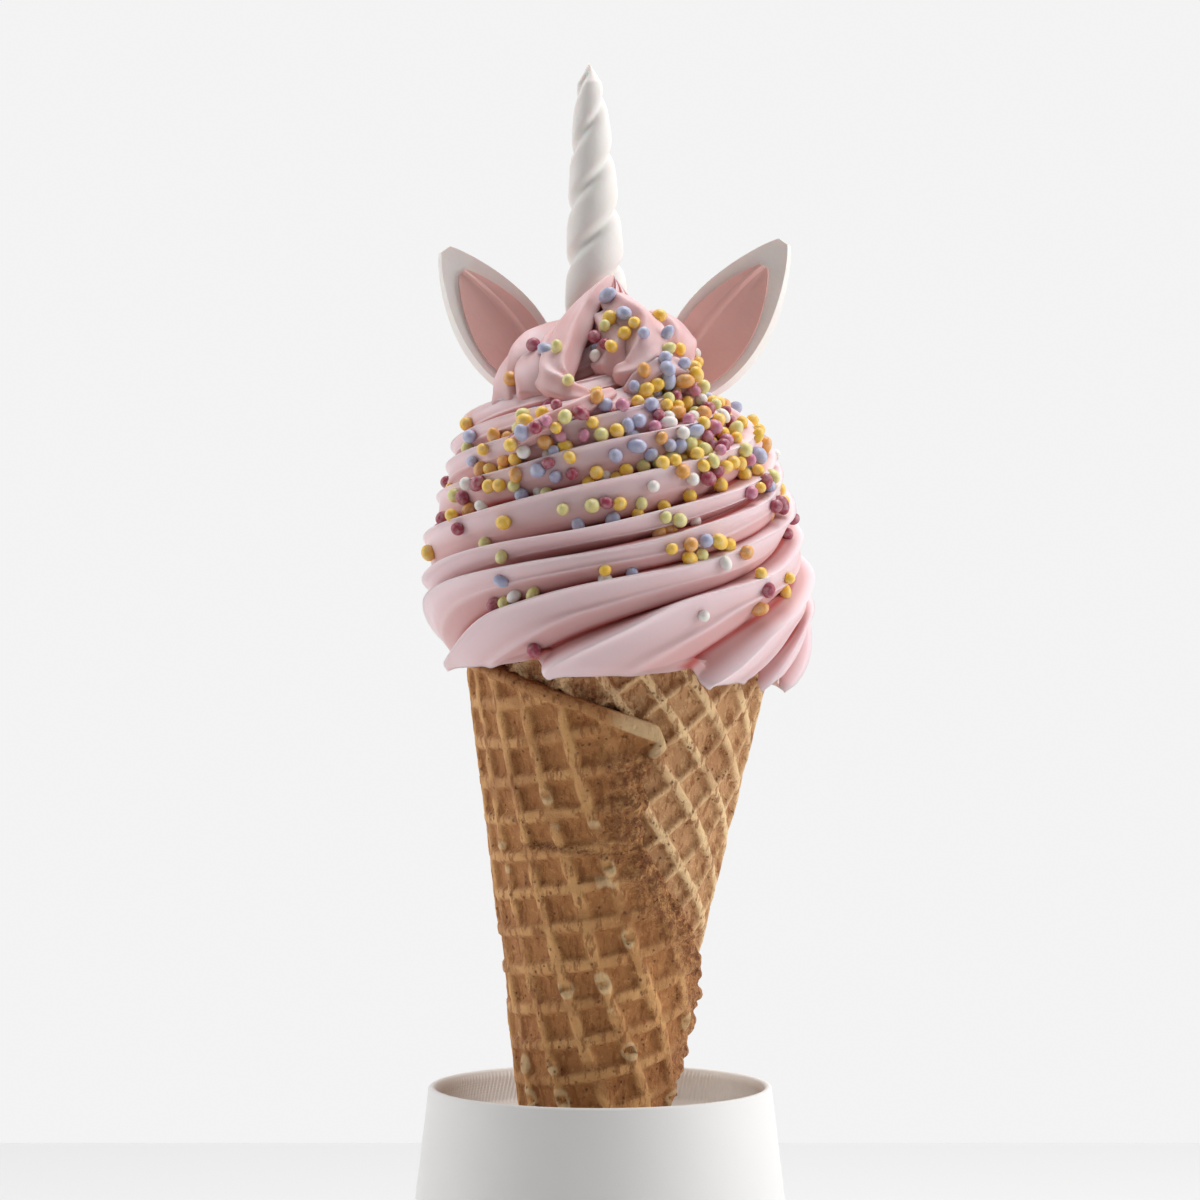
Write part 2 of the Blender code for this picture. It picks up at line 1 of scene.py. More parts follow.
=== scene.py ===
# %% [markdown]
# # A frozen yogurt cone, dressed for its portrait
#
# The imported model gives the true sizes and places: a holder, a rolled waffle cone, a piped swirl,
# a twisted horn and two ears. This lesson makes the fine surface of each one over those solids.
# Everything is in metres, +Z is up, and the front faces -Y.

# %% Load the frame
import math
import random

import bmesh
import bpy
from mathutils import Matrix, Vector, noise
from mathutils.bvhtree import BVHTree


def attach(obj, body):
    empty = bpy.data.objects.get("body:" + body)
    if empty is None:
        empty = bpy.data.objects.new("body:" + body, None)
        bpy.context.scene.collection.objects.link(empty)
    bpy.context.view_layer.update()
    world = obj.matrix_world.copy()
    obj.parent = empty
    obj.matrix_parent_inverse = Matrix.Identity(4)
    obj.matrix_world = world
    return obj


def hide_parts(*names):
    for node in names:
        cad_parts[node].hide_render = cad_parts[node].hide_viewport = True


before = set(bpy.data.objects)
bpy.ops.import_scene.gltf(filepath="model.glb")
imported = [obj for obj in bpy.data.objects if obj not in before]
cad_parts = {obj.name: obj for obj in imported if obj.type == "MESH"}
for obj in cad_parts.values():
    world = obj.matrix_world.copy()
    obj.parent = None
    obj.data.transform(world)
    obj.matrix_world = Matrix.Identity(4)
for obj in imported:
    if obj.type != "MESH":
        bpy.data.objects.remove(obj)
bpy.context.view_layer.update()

MM = 0.001

# %% [markdown]
# ## Small helpers for meshes
#
# Every piece starts as a bmesh and ends as one object at the origin. `finish_piece` merges doubled
# points, turns the faces outwards and smooths the shading. A turned piece is a profile of (radius,
# height) points that `spin` sweeps round Z, and a rule can then move its points.

# %% Mesh helpers
SAME_POINT = 0.002 * MM


def linked(name, shape, material):
    mesh = bpy.data.meshes.new(name)
    shape.to_mesh(mesh)
    shape.free()
    mesh.materials.append(material)
    thing = bpy.data.objects.new(name, mesh)
    bpy.context.scene.collection.objects.link(thing)
    return thing


def finish_piece(name, shape, material):
    bmesh.ops.remove_doubles(shape, verts=shape.verts, dist=SAME_POINT)
    bmesh.ops.recalc_face_normals(shape, faces=shape.faces)
    piece = linked(name, shape, material)
    piece.data.shade_smooth()
    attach(piece, "root")
    print(name, len(piece.data.polygons), "faces")
    return piece


def spun(profile, steps):
    shape = bmesh.new()
    corners = [shape.verts.new((radius, 0, height)) for radius, height in profile]
    edges = [shape.edges.new(pair) for pair in zip(corners, corners[1:])]
    bmesh.ops.spin(shape, geom=corners + edges, cent=(0, 0, 0), axis=(0, 0, 1),
                   angle=math.tau, steps=steps, use_merge=True, use_duplicate=False)
    bmesh.ops.remove_doubles(shape, verts=shape.verts, dist=SAME_POINT)
    return shape


def ease(value):
    """0 below 0, 1 above 1, and a smooth rise between them."""
    value = min(max(value, 0.0), 1.0)
    return value * value * (3 - 2 * value)


def between(points, value):
    """A smooth curve through (value, result) points, as steep at each as the line past it."""
    if value <= points[0][0]:
        return points[0][1]
    if value >= points[-1][0]:
        return points[-1][1]
    for i in range(len(points) - 1):
        (v0, r0), (v1, r1) = points[i], points[i + 1]
        if value <= v1:
            before = points[max(i - 1, 0)]
            after = points[min(i + 2, len(points) - 1)]
            share = (value - v0) / (v1 - v0)
            slope0 = (r1 - before[1]) / (v1 - before[0]) * (v1 - v0)
            slope1 = (after[1] - r0) / (after[0] - v0) * (v1 - v0)
            s2, s3 = share * share, share ** 3
            return ((2 * s3 - 3 * s2 + 1) * r0 + (s3 - 2 * s2 + share) * slope0
                    + (3 * s2 - 2 * s3) * r1 + (s3 - s2) * slope1)


def speckle(point, size, offset=0.0):
    """Smooth noise from -1 to 1 whose lumps are about as wide as size."""
    return noise.noise(point / size + Vector((offset, 2 * offset, -offset)))


# %% [markdown]
# ## Shader maths in plain expressions
#
# A material is a small recipe. `Term` wraps one socket, so `1 - mask * 0.5` adds the Math nodes by
# itself. Colours go through Mix nodes, because a Math node would turn them grey. What is the same
# all over a surface is set on the shader's own sockets.

# %% Shader helpers
def feed(tree, socket, value):
    if isinstance(value, Term):
        tree.links.new(value.socket, socket)
    elif isinstance(value, tuple) and len(value) == 3 and socket.type == "RGBA":
        socket.default_value = (*value, 1.0)
    else:
        socket.default_value = value


class Term:
    """One output socket that can be used in sums."""

    def __init__(self, tree, socket):
        self.tree = tree
        self.socket = socket

    def math(self, operation, *values):
        node = self.tree.nodes.new("ShaderNodeMath")
        node.operation = operation
        for socket, value in zip(node.inputs, values):
            feed(self.tree, socket, value)
        return Term(self.tree, node.outputs[0])

    def __add__(self, other):
        return self.math("ADD", self, other)

    def __radd__(self, other):
        return self.math("ADD", other, self)

    def __sub__(self, other):
        return self.math("SUBTRACT", self, other)

    def __rsub__(self, other):
        return self.math("SUBTRACT", other, self)

    def __mul__(self, other):
        return self.math("MULTIPLY", self, other)

    def __rmul__(self, other):
        return self.math("MULTIPLY", other, self)


class Nodes:
    """Adds nodes to a tree."""

    def __init__(self, tree):
        self.tree = tree

    def node(self, kind, settings, sockets, output=0):
        node = self.tree.nodes.new(kind)
        for setting, value in settings.items():
            setattr(node, setting, value)
        for socket, value in sockets.items():
            feed(self.tree, node.inputs[socket], value)
        return Term(self.tree, node.outputs[output])

    def smooth(self, value, low, high, to_low=0.0, to_high=1.0):
        return self.node("ShaderNodeMapRange", {"interpolation_type": "SMOOTHSTEP"},
                         {"Value": value, "From Min": low, "From Max": high,
                          "To Min": to_low, "To Max": to_high})


class Recipe(Nodes):
    """A material and the nodes that feed its Principled shader."""

    def __init__(self, name, fixed):
        self.material = bpy.data.materials.new(name)
        self.material.use_nodes = True
        super().__init__(self.material.node_tree)
        self.shader = self.tree.nodes["Principled BSDF"]
        for socket, value in fixed.items():
            self.set(socket, value)

    def place(self, stretch=(1, 1, 1)):
        where = self.node("ShaderNodeTexCoord", {}, {}, "Object")
        return self.node("ShaderNodeMapping", {}, {"Vector": where, "Scale": stretch})

    def attribute(self, name):
        return self.node("ShaderNodeAttribute", {"attribute_name": name}, {}, "Fac")

    def noise(self, size, detail, rough=0.5, stretch=(1, 1, 1)):
        return self.node("ShaderNodeTexNoise", {}, {"Vector": self.place(stretch), "Scale": 1 / size,
                                                    "Detail": detail, "Roughness": rough}, "Fac")

    def mix(self, factor, first, second):
        """Mixes two colours, which are sockets 6 and 7 of a Mix node, with its result at output 2."""
        return self.node("ShaderNodeMix", {"data_type": "RGBA"}, {0: factor, 6: first, 7: second}, 2)

    def bump(self, height, distance, strength):
        return self.node("ShaderNodeBump", {}, {"Height": height, "Distance": distance,
                                                "Strength": strength})

    def set(self, socket, value):
        feed(self.tree, self.shader.inputs[socket], value)

    def grain(self, height, roughness, depth, strength):
        """Lets one noise make both the shine uneven and the surface bumpy."""
        self.set("Roughness", self.smooth(height, 0.3, 0.7, *roughness))
        self.set("Normal", self.bump(height, depth, strength))


# %% [markdown]
# ## The holder
#
# The holder is a matt white drum with a thin rim. Inside the rim its wall has a couple of hundred
# fine slanting flutes, and a pale deck with a socket holds the cone. It is turned like a pot: one
# profile, spun round.

# %% Holder sizes
HOLDER_HEIGHT = 76 * MM
HOLDER_BASE_RADIUS = 40.5 * MM
HOLDER_RIM_RADIUS = 31.75 * MM
RIM_WALL = 1.3 * MM
DECK = HOLDER_HEIGHT - 7.5 * MM
FLUTES = 216
FLUTE_STEPS = 4
FLUTE_DEPTH = 0.5 * MM
FLUTE_LEAN = math.tan(math.radians(5)) * 3
RIM_BEND = 0.5 * MM
RIM_STEPS = 6
SIDE_STEPS = 8

CONE_APEX = Vector((-5.9 * MM, 0, 1.6 * MM))
CONE_TILT = math.radians(3.58)
HALF_ANGLE = math.radians(10.35)
SOCKET_CLEARANCE = 1.9 * MM
SOCKET_FLOOR = 7 * MM
SOCKET_REACH = 18 * MM
cone_frame = Matrix.Translation(CONE_APEX) @ Matrix.Rotation(CONE_TILT, 4, "Y")

# %% [markdown]
# The profile runs from the middle of the socket's floor up to the deck, over the rim and down the
# outside. Slanting flutes can't be turned, so a rule presses them into the inner wall's points.

# %% Holder shape
def socket_radius(height):
    return height * math.tan(HALF_ANGLE) + SOCKET_CLEARANCE


def holder_profile():
    inner = HOLDER_RIM_RADIUS - RIM_WALL
    socket = [(0, SOCKET_FLOOR), (socket_radius(SOCKET_FLOOR) - 0.6 * MM, SOCKET_FLOOR)]
    socket += [(socket_radius(height), height) for height in (8 * MM, 30 * MM, 52 * MM)]
    socket += [(socket_radius(DECK) - 0.2 * MM, DECK - 0.5 * MM), (socket_radius(DECK) + 0.3 * MM, DECK)]
    deck = [(radius * MM, DECK) for radius in (18, 22, 26, 28)]
    deck += [(inner - 0.9 * MM, DECK + 0.15 * MM), (inner - 0.3 * MM, DECK + 0.7 * MM)]
    wall = [(inner, DECK + (1.3 + i * 0.5) * MM) for i in range(12)]
    shoulder = HOLDER_HEIGHT - RIM_BEND
    lip = []
    for i in range(RIM_STEPS + 1):
        angle = math.pi * (1 - i / RIM_STEPS)
        middle = HOLDER_RIM_RADIUS - RIM_WALL / 2
        lip.append((middle + (RIM_WALL / 2) * math.cos(angle), shoulder + RIM_BEND * math.sin(angle)))
    outside = []
    for i in range(1, SIDE_STEPS + 1):
        share = i / SIDE_STEPS
        outside.append((HOLDER_RIM_RADIUS + (HOLDER_BASE_RADIUS - HOLDER_RIM_RADIUS) * share,
                        shoulder - (shoulder - 1.5 * MM) * share))
    foot = [(HOLDER_BASE_RADIUS - 0.4 * MM, 0.4 * MM), (HOLDER_BASE_RADIUS - 1.5 * MM, 0), (0, 0)]
    return socket + deck + wall + lip + outside + foot


def shape_holder(vertex):
    """Presses the flutes into the inner wall and leans the socket."""
    radius = math.hypot(vertex.co.x, vertex.co.y)
    if radius < SAME_POINT and vertex.co.z > MM:
        vertex.co = cone_frame @ Vector((0, 0, SOCKET_FLOOR - CONE_APEX.z))
        return
    turn = math.atan2(vertex.co.y, vertex.co.x)
    height = vertex.co.z
    inner = HOLDER_RIM_RADIUS - RIM_WALL
    if DECK + 1.0 * MM < height < HOLDER_HEIGHT - 0.3 * MM and radius < inner + 0.2 * MM:
        rise = ease((height - DECK - 1.0 * MM) / MM) * ease((HOLDER_HEIGHT - 0.6 * MM - height) / MM)
        wave = 0.5 + 0.5 * math.cos(FLUTES * (turn + (height - DECK) / inner * FLUTE_LEAN))
        radius -= FLUTE_DEPTH * rise * wave
        vertex.co = Vector((radius * math.cos(turn), radius * math.sin(turn), height))
    elif radius < SOCKET_REACH + 0.5 * MM and height > SOCKET_FLOOR - 2 * MM:
        lean = (height - CONE_APEX.z) * math.tan(CONE_TILT) + CONE_APEX.x
        hold = ease((SOCKET_REACH - radius) / (2 * MM)) if height > DECK - MM else 1.0
        vertex.co.x += lean * hold


def make_holder(material):
    shape = spun(holder_profile(), FLUTES * FLUTE_STEPS)
    for vertex in shape.verts:
        shape_holder(vertex)
    piece = finish_piece("holder_shell", shape, material)
    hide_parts("holder")


# %% [markdown]
# ## The holder's finish
#
# Unglazed porcelain is white, dull and very slightly grainy. A faint large mottling keeps the wall
# from looking like plastic, and a fine bump breaks its highlights.

# %% Holder finish
def porcelain():
    recipe = Recipe("matt_porcelain", {})
    cloud = recipe.noise(30 * MM, 3)
    recipe.set("Base Color", recipe.mix(cloud, (0.80, 0.79, 0.775), (0.86, 0.85, 0.84)))
    recipe.grain(recipe.noise(0.35 * MM, 3, 0.6), (0.52, 0.66), 0.03 * MM, 0.6)
    return recipe.material


make_holder(porcelain())

# %% [markdown]
# ## The waffle cone
#
# A waffle cone is baked flat between two ribbed irons and rolled up while it is hot. It is made the
# same way here: a flat grid is cut to its outline and raised into ridges round square cells, and each
# point is rolled round the cone's axis. That is why the cells look square on one side of the cone and
# like diamonds on the other.

# %% Waffle sizes
RIM_SLANT = 156.3 * MM
SHEET_LOW_SLANT = 62 * MM
SHEET_THICKNESS = 2.0 * MM
CELL = 7.0 * MM
RIDGE_HEIGHT = 0.42 * MM
CELL_DEPTH = -0.85 * MM
GRID_TURN = math.radians(-115)
INNER_GRID_TURN = math.radians(-70)
INNER_SLIP = (INNER_GRID_TURN - GRID_TURN) * math.sin(HALF_ANGLE)
ROLL_TURN = math.radians(15)
JOIN_TURN = math.radians(-200)
INNER_END_TURN = math.radians(-445)
SHEET_STEP = 0.47 * MM

# %% [markdown]
# A point of the sheet has a slant, its distance from the tip, and a turn round the axis from the
# front. Two rules give the outer wrap's outline: its free edge, and its top edge above the corner.

# %% Where the sheet ends
SEAM_DEGREES = 14
SEAM_DRIFT = 84
CORNER_PULL = 7.5
TOP_DROP = 11.3 * MM
TOP_DROP_START = math.radians(-78)
TOP_DROP_TURN = math.radians(93)
CORNER_ROUNDING = 2.6 * MM


def seam_turn(slant):
    """Turn of the outer wrap's free edge, to the right of the front, with its corner pulled out."""
    drop = ease((128 * MM - slant) / (45 * MM))
    corner = ease((slant - 137.5 * MM) / (5 * MM))
    return math.radians(SEAM_DEGREES + SEAM_DRIFT * drop + CORNER_PULL * corner)


def seam_gap(slant, turn):
    """How far a point lies from the free edge, measured round the cone."""
    return (seam_turn(slant) - turn) * slant * math.sin(HALF_ANGLE)


def top_slant(turn):
    """Slant of the outer wrap's top edge, which drops to a rounded corner at the seam."""
    share = min(max((turn - TOP_DROP_START) / TOP_DROP_TURN, 0), 1.1)
    rounding = CORNER_ROUNDING * ease((turn - math.radians(15.5)) / math.radians(8)) ** 2
    return RIM_SLANT - TOP_DROP * share - rounding


def flat_to_roll(point):
    slant = math.hypot(point.x, point.y)
    turn = math.atan2(point.x, point.y) / math.sin(HALF_ANGLE) + GRID_TURN
    return slant, turn


def roll_to_flat(slant, turn):
    spread = (turn - GRID_TURN) * math.sin(HALF_ANGLE)
    return Vector((slant * math.sin(spread), slant * math.cos(spread), 0))


# %% [markdown]
# The iron's grid has two sets of ridges. On the lighter inner wrap they are crisp. On the darker
# outer wrap, the upright ones swell into pale leaves between two crossings, and noise wears them all.

# %% Relief of the waffle
RIDGE_HALF = 0.5 * MM
RIDGE_FALL = 1.15 * MM
WORN_SHEAR = 0.105


def ridge_share(place, half_width):
    """1 on the middle of a ridge, 0 on the floor of a cell."""
    off = abs((place / CELL + 0.5) % 1.0 - 0.5) * CELL
    return 1 - ease((off - half_width) / RIDGE_FALL)


def grid_place(point, shear):
    """A point of the flat sheet on the iron's grid, which wanders a little and is sheared."""
    wobble = Vector((speckle(point, 16 * MM, 3.1), speckle(point, 16 * MM, 7.7), 0)) * 0.9 * MM
    return point.x + wobble.x, point.y + shear * point.x + wobble.y


def crisp_face(point):
    """Height and ridge of the lighter wrap: deep cells, and one set of ridges broader and paler."""
    x, y = grid_place(Matrix.Rotation(INNER_SLIP, 4, "Z") @ point, 0)
    upright = ridge_share(x, RIDGE_HALF * 0.5)
    level = ridge_share(y, RIDGE_HALF)
    height = CELL_DEPTH + (RIDGE_HEIGHT - CELL_DEPTH) * max(upright, level)
    height += 0.10 * MM * speckle(point, 2.2 * MM, 1.3)
    return height, max(level, 0.75 * upright)


def worn_ridges(point):
    """Height, ridge and leaf of the darker wrap: its upright ridges swell into leaves."""
    x, y = grid_place(point, WORN_SHEAR)
    swell = math.sin(math.pi * (y / CELL % 1.0)) ** 2
    uneven = 0.25 * MM * speckle(point, 8 * MM, 6.4)
    upright = ridge_share(x, RIDGE_HALF * (0.8 + 0.6 * swell) + uneven)
    level = ridge_share(y, RIDGE_HALF * 1.3 + uneven)
    upright *= 1 - 0.4 * ease(speckle(point, 7 * MM, 8.3) * 2.4)
    level *= 1 - 0.3 * ease(speckle(point, 6 * MM, 2.3) * 2)
    height = CELL_DEPTH + (RIDGE_HEIGHT - CELL_DEPTH) * max(upright, level * 0.9)
    height += 0.14 * MM * speckle(point, 2.2 * MM, 1.3) + 0.07 * MM * speckle(point, 0.9 * MM, 4.2)
    return height, max(upright, level * 0.85), upright * swell


# %% [markdown]
# The flat sheet is a grid whose faces outside of the outline are deleted. Noise crumbles the free
# edge a little, and the points of the last row are slid on to the outline, so that the cut is clean.
# `rolled` then takes a point of the flat sheet to its place on the cone.

# %% Cut and roll a sheet
CRUMBLE = 1.1 * MM
SHEET_MARGIN = 4 * MM
SEAM_MARGIN = 20 * MM


def edge_limits(slant, outer):
    """First and last turn of a wrap at a slant."""
    if outer:
        crumble = CRUMBLE * noise.noise(Vector((slant / (3 * MM), 0.3, 1.7)))
        crumble *= ease((139 * MM - slant) / (3 * MM))
        return JOIN_TURN, seam_turn(slant) + crumble / max(slant * math.sin(HALF_ANGLE), MM)
    return INNER_END_TURN, JOIN_TURN + math.radians(1)


def inside(slant, turn, outer):
    first, last = edge_limits(slant, outer)
    top = top_slant(turn) if outer else RIM_SLANT
    return first <= turn <= last and SHEET_LOW_SLANT <= slant <= top


def snapped(slant, turn, outer):
    """The nearest place within the outline."""
    first, last = edge_limits(min(max(slant, SHEET_LOW_SLANT), RIM_SLANT), outer)
    turn = min(max(turn, first), last)
    top = top_slant(turn) if outer else RIM_SLANT
    return min(max(slant, SHEET_LOW_SLANT), top), turn


def flat_sheet(outer):
    """A grid that covers the wrap in the flat, cut to its outline."""
    marks = []
    for degrees in range(round(math.degrees(INNER_END_TURN)), 100, 5):
        turn = math.radians(degrees)
        for slant, shy in ((SHEET_LOW_SLANT, 0.2 * MM), (RIM_SLANT, -0.2 * MM)):
            if inside(slant + shy, turn, outer):
                marks.append(roll_to_flat(slant, turn))
    low_x = min(mark.x for mark in marks) - SHEET_MARGIN
    high_x = max(mark.x for mark in marks) + (SEAM_MARGIN if outer else 0)
    low_y = min(mark.y for mark in marks) - SHEET_MARGIN
    high_y = max(mark.y for mark in marks) + SHEET_MARGIN
    columns = round((high_x - low_x) / SHEET_STEP)
    rows = round((high_y - low_y) / SHEET_STEP)
    shape = bmesh.new()
    bmesh.ops.create_grid(shape, x_segments=columns, y_segments=rows, size=1)
    for vertex in shape.verts:
        vertex.co.x = low_x + (vertex.co.x + 1) / 2 * (high_x - low_x)
        vertex.co.y = low_y + (vertex.co.y + 1) / 2 * (high_y - low_y)
    kept = {vertex: inside(*flat_to_roll(vertex.co), outer) for vertex in shape.verts}
    spare = [face for face in shape.faces if not any(kept[vertex] for vertex in face.verts)]
    bmesh.ops.delete(shape, geom=spare, context="FACES")
    for vertex in shape.verts:
        if not kept[vertex]:
            vertex.co = roll_to_flat(*snapped(*flat_to_roll(vertex.co), outer))
    bmesh.ops.dissolve_degenerate(shape, edges=shape.edges, dist=0.02 * MM)
    return shape


def rolled(slant, turn, height):
    turns_in = min((ROLL_TURN - turn) / math.tau, 1)
    out = SHEET_THICKNESS * (0.5 - turns_in) + height
    radius = slant * math.sin(HALF_ANGLE) + out * math.cos(HALF_ANGLE)
    up = slant * math.cos(HALF_ANGLE) - out * math.sin(HALF_ANGLE)
    return cone_frame @ Vector((radius * math.sin(turn), -radius * math.cos(turn), up))


# %% [markdown]
# The outer wrap has a toasted crumbly seam, a dark line across it, blisters on some leaves, a few of
# them burst, a patch of flour, and a pale rounded lip along its top edge. Each has a small rule of
# its own, and `worn_face` adds them up. The inner wrap only gets a painted shade close above the flap,
# kept in the same value as the toast.

# %% Face of the outer wrap
TOAST_BAND = 13 * MM
TOAST_LINE_SLANT = 121 * MM
TOAST_LINE_WIDTH = 0.6 * MM
TOAST_LINE_DEPTH = 0.35 * MM
FLAP_SHADE = 5 * MM
BLISTER_RISE = 0.3 * MM
PIT_DEPTH = 1.2 * MM
FLOUR_SLANT = 115.7 * MM
FLOUR_TURN = math.radians(-2)
FLOUR_SIZE = (3 * MM, 1.3 * MM)
LIP_WIDTH = 3.0 * MM
LIP_HEIGHT = 1.0 * MM
LIP_TONE = 0.55


def painted_flap_shade(slant, turn):
    """Painted shade on the inner wrap, close above the flap's top edge, kept with the toast value."""
    above = (slant - top_slant(turn)) / FLAP_SHADE
    return 0.8 * ease(1 - above) * ease((math.radians(17) - turn) / math.radians(8)) if above > 0 else 0.0


def toast_line(point, slant, turn):
    """1 along the dark line that crosses the wrap from the left of the front."""
    off = slant - TOAST_LINE_SLANT - MM * speckle(point, 9 * MM)
    return math.exp(-(off / TOAST_LINE_WIDTH) ** 2) * ease((turn - math.radians(-60)) / math.radians(30))


def blister_and_pit(point, slant, leaf, toast_and_shade):
    """Some leaves rise into a blister, and the tallest blisters have burst."""
    chosen = ease(speckle(point, 9 * MM, 4.7) * 4 - 0.9 + 2.2 * toast_and_shade)
    blister = ease(leaf * 1.6) * chosen * ease((136 * MM - slant) / (8 * MM)) * ease((0.75 - toast_and_shade) * 5)
    return blister, ease((leaf - 0.8) / 0.15) * blister


def flour_patch(point, slant, turn):
    across = (turn - FLOUR_TURN) * slant * math.sin(HALF_ANGLE) / FLOUR_SIZE[0]
    up = (slant - FLOUR_SLANT) / FLOUR_SIZE[1]
    return 1.1 * math.exp(-up ** 2 - across ** 2) * (0.8 + speckle(point, 1.5 * MM))


def corner_nearness(slant):
    return ease((slant - 138 * MM) / (4 * MM))


def lip_share(slant, turn):
    """0 off the lip, and 1 on the top edge and on the seam near the corner."""
    width = LIP_WIDTH * (0.8 + 0.35 * ease((turn - math.radians(-20)) / math.radians(30)))
    top = 1 - (top_slant(turn) - slant) / width
    side = (1 - seam_gap(slant, turn) / LIP_WIDTH) * corner_nearness(slant)
    return max(top, side, 0)


def worn_face(point, slant, turn):
    """Height, ridge, toast and paleness of the outer wrap."""
    height, ridge, leaf = worn_ridges(point)
    toast_and_shade = 1 - ease(seam_gap(slant, turn) / TOAST_BAND)
    line = toast_line(point, slant, turn)
    blister, pit = blister_and_pit(point, slant, leaf, toast_and_shade)
    lumps = 1.1 * MM * speckle(point, 3.2 * MM, 5.1) + 0.9 * MM * abs(speckle(point, 1.5 * MM, 9.1))
    height = height * (1 - 0.6 * toast_and_shade) + lumps * toast_and_shade - TOAST_LINE_DEPTH * line
    height += BLISTER_RISE * blister - PIT_DEPTH * pit
    pale = max(blister * (1 - 0.8 * pit), flour_patch(point, slant, turn))
    lip = lip_share(slant, turn)
    round_lip = LIP_HEIGHT * math.sin(math.pi * min(lip, 1) ** 0.8) ** 0.6 if lip > 0 else 0
    smooth = ease(lip * 3)
    height += (round_lip - height) * smooth
    ridge += (LIP_TONE - ridge) * smooth
    pale_end = smooth * ease((turn - math.radians(-12)) / math.radians(22))
    toast_and_shade = max(toast_and_shade * (1 - corner_nearness(slant)), 0.9 * line)
    return height, ridge * (1 - 0.5 * toast_and_shade), toast_and_shade, max(pale, pale_end)


# %% [markdown]
# A wrap is cut in the flat, extruded backwards for its thickness and rolled up. How far each point
# is a ridge, toasted or pale is stored on it for the colours. On the inner wrap the toast value holds
# a painted shade above the flap instead.

# %% Make a wrap
def make_wrap(name, outer, material):
    shape = flat_sheet(outer)
    thickness = SHEET_THICKNESS * (1 if outer else 0.9)
    ridge_layer = shape.verts.layers.float.new("ridge")
    toast_and_shade_layer = shape.verts.layers.float.new("toast_and_shade")
    pale_layer = shape.verts.layers.float.new("pale")
    raised = bmesh.ops.extrude_face_region(shape, geom=list(shape.faces))["geom"]
    backs = {item for item in raised if isinstance(item, bmesh.types.BMVert)}
    for vertex in shape.verts:
        slant, turn = flat_to_roll(vertex.co)
        if outer:
            height, ridge, toast_and_shade, pale = worn_face(vertex.co, slant, turn)
        else:
            height, ridge = crisp_face(vertex.co)
            # On the inner wrap the toast value is a painted shade above the flap.
            toast_and_shade, pale = painted_flap_shade(slant, turn + math.tau), 0.0
        vertex[ridge_layer] = ridge
        vertex[toast_and_shade_layer] = toast_and_shade
        vertex[pale_layer] = pale
        vertex.co = rolled(slant, turn, -thickness if vertex in backs else height)
    piece = finish_piece(name, shape, material)
    return piece


# %% [markdown]
# Inside the rolled sheet a plain cone of wafer closes the middle, down to the tip that is hidden in
# the holder. It is spun from a short profile.

# %% Cone core
CORE_TOP_GAP = 4 * MM
CORE_SIDE_GAP = 2.3 * MM
CORE_TIP = 9 * MM
CORE_COLUMNS = 96


def make_core(material):
    slope = math.tan(HALF_ANGLE)
    top = RIM_SLANT * math.cos(HALF_ANGLE) - CORE_TOP_GAP
    step = (SHEET_LOW_SLANT - MM) * math.cos(HALF_ANGLE)
    profile = [(0, top), (top * slope - CORE_SIDE_GAP, top), (step * slope - CORE_SIDE_GAP, step + 4 * MM),
               (step * slope - 0.3 * MM, step), ((CORE_TIP + 3 * MM) * slope, CORE_TIP + 3 * MM),
               (CORE_TIP * slope * 0.7, CORE_TIP + 0.6 * MM), (0, CORE_TIP)]
    shape = spun(profile, CORE_COLUMNS)
    bmesh.ops.transform(shape, matrix=cone_frame, verts=shape.verts)
    piece = finish_piece("cone_core", shape, material)


# %% [markdown]
# ## Baked wafer
#
# The ridges of a wafer bake pale gold and the floors of its cells darker. The walls between them are
# brown, from toasting and from a painted shade. Blotches, fibres and pores break it up, the seam has
# dark and light crumbs, and blisters, flour and the lip are creamy. On the inner wrap the toast layers
# paint shade above the flap. The values were stored in the flat, so the colours roll up with it.

# %% Wafer finish
DARK_FLOOR = (0.50, 0.212, 0.068)
DARK_RIDGE = (0.77, 0.415, 0.160)
LIGHT_FLOOR = (0.62, 0.330, 0.150)
LIGHT_RIDGE = (0.93, 0.640, 0.340)
WALL_TOAST_AND_SHADE_BROWN = (0.40, 0.160, 0.046)
CRUST_BROWN = (0.33, 0.115, 0.030)
TOAST_AND_SHADE_BROWN = (0.20, 0.058, 0.018)
PALE_CREAM = (0.88, 0.66, 0.37)


